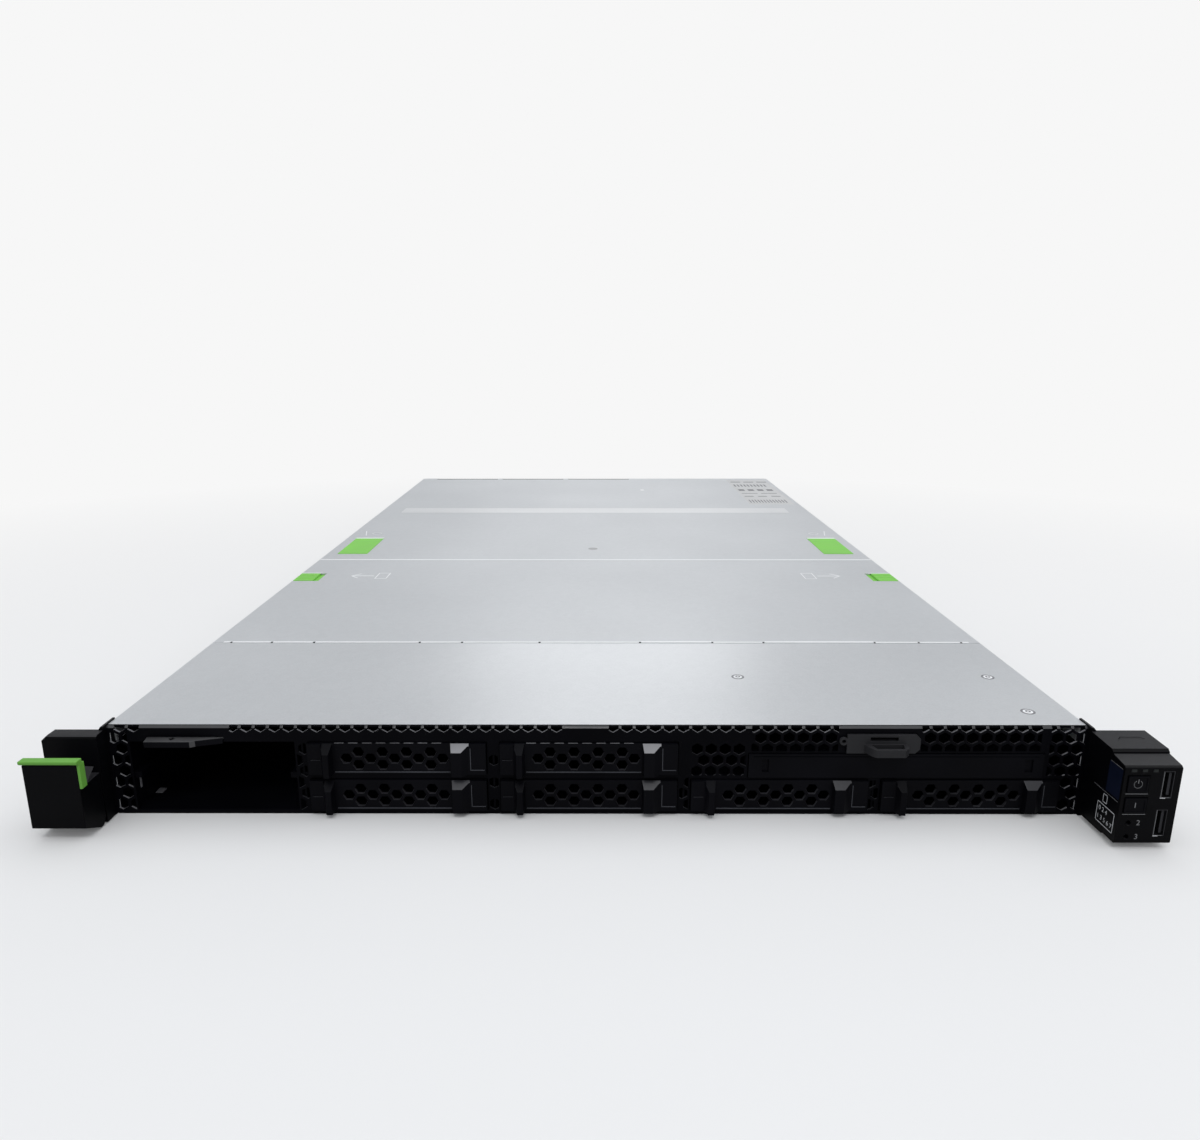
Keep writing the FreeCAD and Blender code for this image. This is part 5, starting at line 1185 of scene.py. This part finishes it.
class SERVER_OT_rear(bpy.types.Operator):
    """Screws, contacts, numbers and lamps of the rear"""

    bl_idname = "server.rear"
    bl_label = "Rear"

    def execute(self, context):
        edge = sizes().plastic_edge
        dress("rear_ports", edge * 0.3)
        for number in (1, 2):
            for kind, share in (("power_supply", 0.5), ("supply_handle", 1.0), ("supply_release", 0.6)):
                dress("%s_%d" % (kind, number), edge * share)
            self.supply_marks(number)
        self.screws()
        self.network_sockets()
        self.video_socket()
        return {"FINISHED"}

    def supply_marks(self, number):
        """Lamp and plain number of one power supply."""
        body = BODY_OF["power_supply_%d" % number]
        low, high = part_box("power_supply_%d" % number)
        height = high.z - 4.0 * MM
        lamp = [(low.x + 31.0 * MM, high.y, height)]
        heads("supply_lamp_%d" % number, lamp, body, "lamp", "lamp", 1.1 * MM, 0.4 * MM, FACE_REAR)
        place = (low.x + 3.6 * MM, high.y, height)
        name = "supply_number_%d" % number
        digits(name, str(number), sizes().digit_height, ON_REAR, place, body, "print", "galvanised")

    def screws(self):
        """Screws of the card slot frame and the port plate, each with a crossed slot of painted shade."""
        points = [(x * MM, REAR, z * MM) for x, z in REAR_SCREWS]
        look = ("chassis", "bright_metal", "bright_metal")
        heads("rear_screws", points, *look, sizes().screw_radius, 1.2 * MM, FACE_REAR, 0.8)
        front, back = REAR / MM + 1.16, REAR / MM + 1.24
        slots = []
        for x, z in REAR_SCREWS:
            for across, up in ((1.8, 0.3), (0.3, 1.8)):
                slots.append((x - across, x + across, front, back, z - up, z + up))
        strips("rear_screw_slot_shades", slots, "chassis", "dark")

    def network_sockets(self):
        """Gilt contacts in the network sockets and a number above each."""
        left, base = box_mm("rear_ports")[0][::2]
        size = metres(0.4, 7.0, 0.3)
        step = metres(1.1, 0.0, 0.0)
        for number in (1, 2, 3):
            socket = left + NET_PITCH * (number - 1)
            start = metres(socket + 3.6, REAR / MM - 6.0, base + 9.9)
            name = "net_contacts_%d" % number
            blocks(name, start, step, 8, size, "chassis", "contact")
            place = ((socket + 7.5) * MM, REAR, 24.0 * MM)
            name = "net_number_%d" % number
            digits(name, str(number), 2.4 * MM, ON_REAR, place, "chassis", "dark", "galvanised")

    def video_socket(self):
        """Contact holes of the video socket as dark discs of painted shade, and its nuts."""
        low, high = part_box("rear_ports")
        video, base = low.x / MM + VIDEO_FROM_LEFT, low.z / MM
        holes = [(video + 9.5 + 2.2 * k, base + 7.6 - 2.0 * row) for row in range(3) for k in range(6)]
        points = [(x * MM, high.y, z * MM) for x, z in holes]
        look = ("chassis", "dark", "connector")
        heads("video_hole_shades", points, *look, 0.5 * MM, 0.04 * MM, FACE_REAR, 1.0, 10)
        nuts = [((video + x) * MM, REAR + 0.3 * MM, (base + 5.7) * MM) for x in (3.4, 27.6)]
        look = ("chassis", "bright_metal", "bright_metal")
        heads("video_nuts", nuts, *look, 2.2 * MM, 3.0 * MM, FACE_REAR, 1.0, 6)


class SERVER_OT_inside(bpy.types.Operator):
    """Finishes and small parts of the boards, fans and cooling parts"""

    bl_idname = "server.inside"
    bl_label = "Inside"

    def execute(self, context):
        dress("heat_sinks", 0.1 * MM)
        self.board_parts()
        self.memory_chips()
        for name, source in frame["nodes"].items():
            if not source.hide_render:
                source.data.materials.clear()
                source.data.materials.append(FINISH[SLOT_OF[name]])
        return {"FINISHED"}

    def board_parts(self):
        """Small chips scattered over the free part of the main board."""
        low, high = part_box("mainboard")
        left = low.x + 12.0 * MM
        right, front, back = metres(*BOARD_FREE)
        corners = [(left, front), (right, front), (right, back), (left, back)]
        piece = mesh_of("board_chips", [(x, y, high.z) for x, y in corners], [(0, 1, 2, 3)])
        look = FINISH["connector"]
        grow(piece, scatter_tree(), Spacing=CHIP_SPACING * MM, Density=9000.0, Seed=7, Finish=look)
        settle(piece, "chassis", "connector")

    def memory_chips(self):
        """Rows of chips on the memory modules."""
        low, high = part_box("memory_modules")
        size = metres(*MEMORY_CHIP)
        step = metres(0.0, MEMORY_PITCH, 0.0)
        places = sorted({round(vert.co.x / MM, 2) for vert in frame["nodes"]["memory_modules"].data.vertices})
        for number, x in enumerate(places[::2], start=1):
            start = (x * MM - 0.4 * MM, low.y + 12.0 * MM, (low.z + high.z) / 2)
            name = "memory_chips_%d" % number
            blocks(name, start, step, 9, size, "chassis", "connector")


OPERATORS = (
    SERVER_OT_stage, SERVER_OT_sheets, SERVER_OT_front, SERVER_OT_ears, SERVER_OT_cover_parts, SERVER_OT_rear,
    SERVER_OT_inside,
)


class SERVER_PT_panel(bpy.types.Panel):
    """Sidebar panel with one button for each step"""

    bl_idname = "SERVER_PT_panel"
    bl_label = "Rack server"
    bl_space_type = "VIEW_3D"
    bl_region_type = "UI"
    bl_category = "Rack server"

    def draw(self, context):
        column = self.layout.column(align=True)
        for operator in OPERATORS:
            column.operator(operator.bl_idname)
        for group in (context.scene.server_sizes, context.scene.server_colours):
            box = self.layout.box()
            for name in group.__annotations__:
                box.prop(group, name)


CLASSES = (ServerSizes, ServerColours) + OPERATORS + (SERVER_PT_panel,)


def register():
    for item in CLASSES:
        bpy.utils.register_class(item)
    bpy.types.Scene.server_sizes = bpy.props.PointerProperty(type=ServerSizes)
    bpy.types.Scene.server_colours = bpy.props.PointerProperty(type=ServerColours)


def unregister():
    del bpy.types.Scene.server_colours
    del bpy.types.Scene.server_sizes
    for item in reversed(CLASSES):
        bpy.utils.unregister_class(item)


def main():
    """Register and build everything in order."""
    register()
    FINISH.update(make_finishes())
    for operator in OPERATORS:
        group, name = operator.bl_idname.split(".")
        getattr(getattr(bpy.ops, group), name)()


if __name__ == "__main__":
    main()
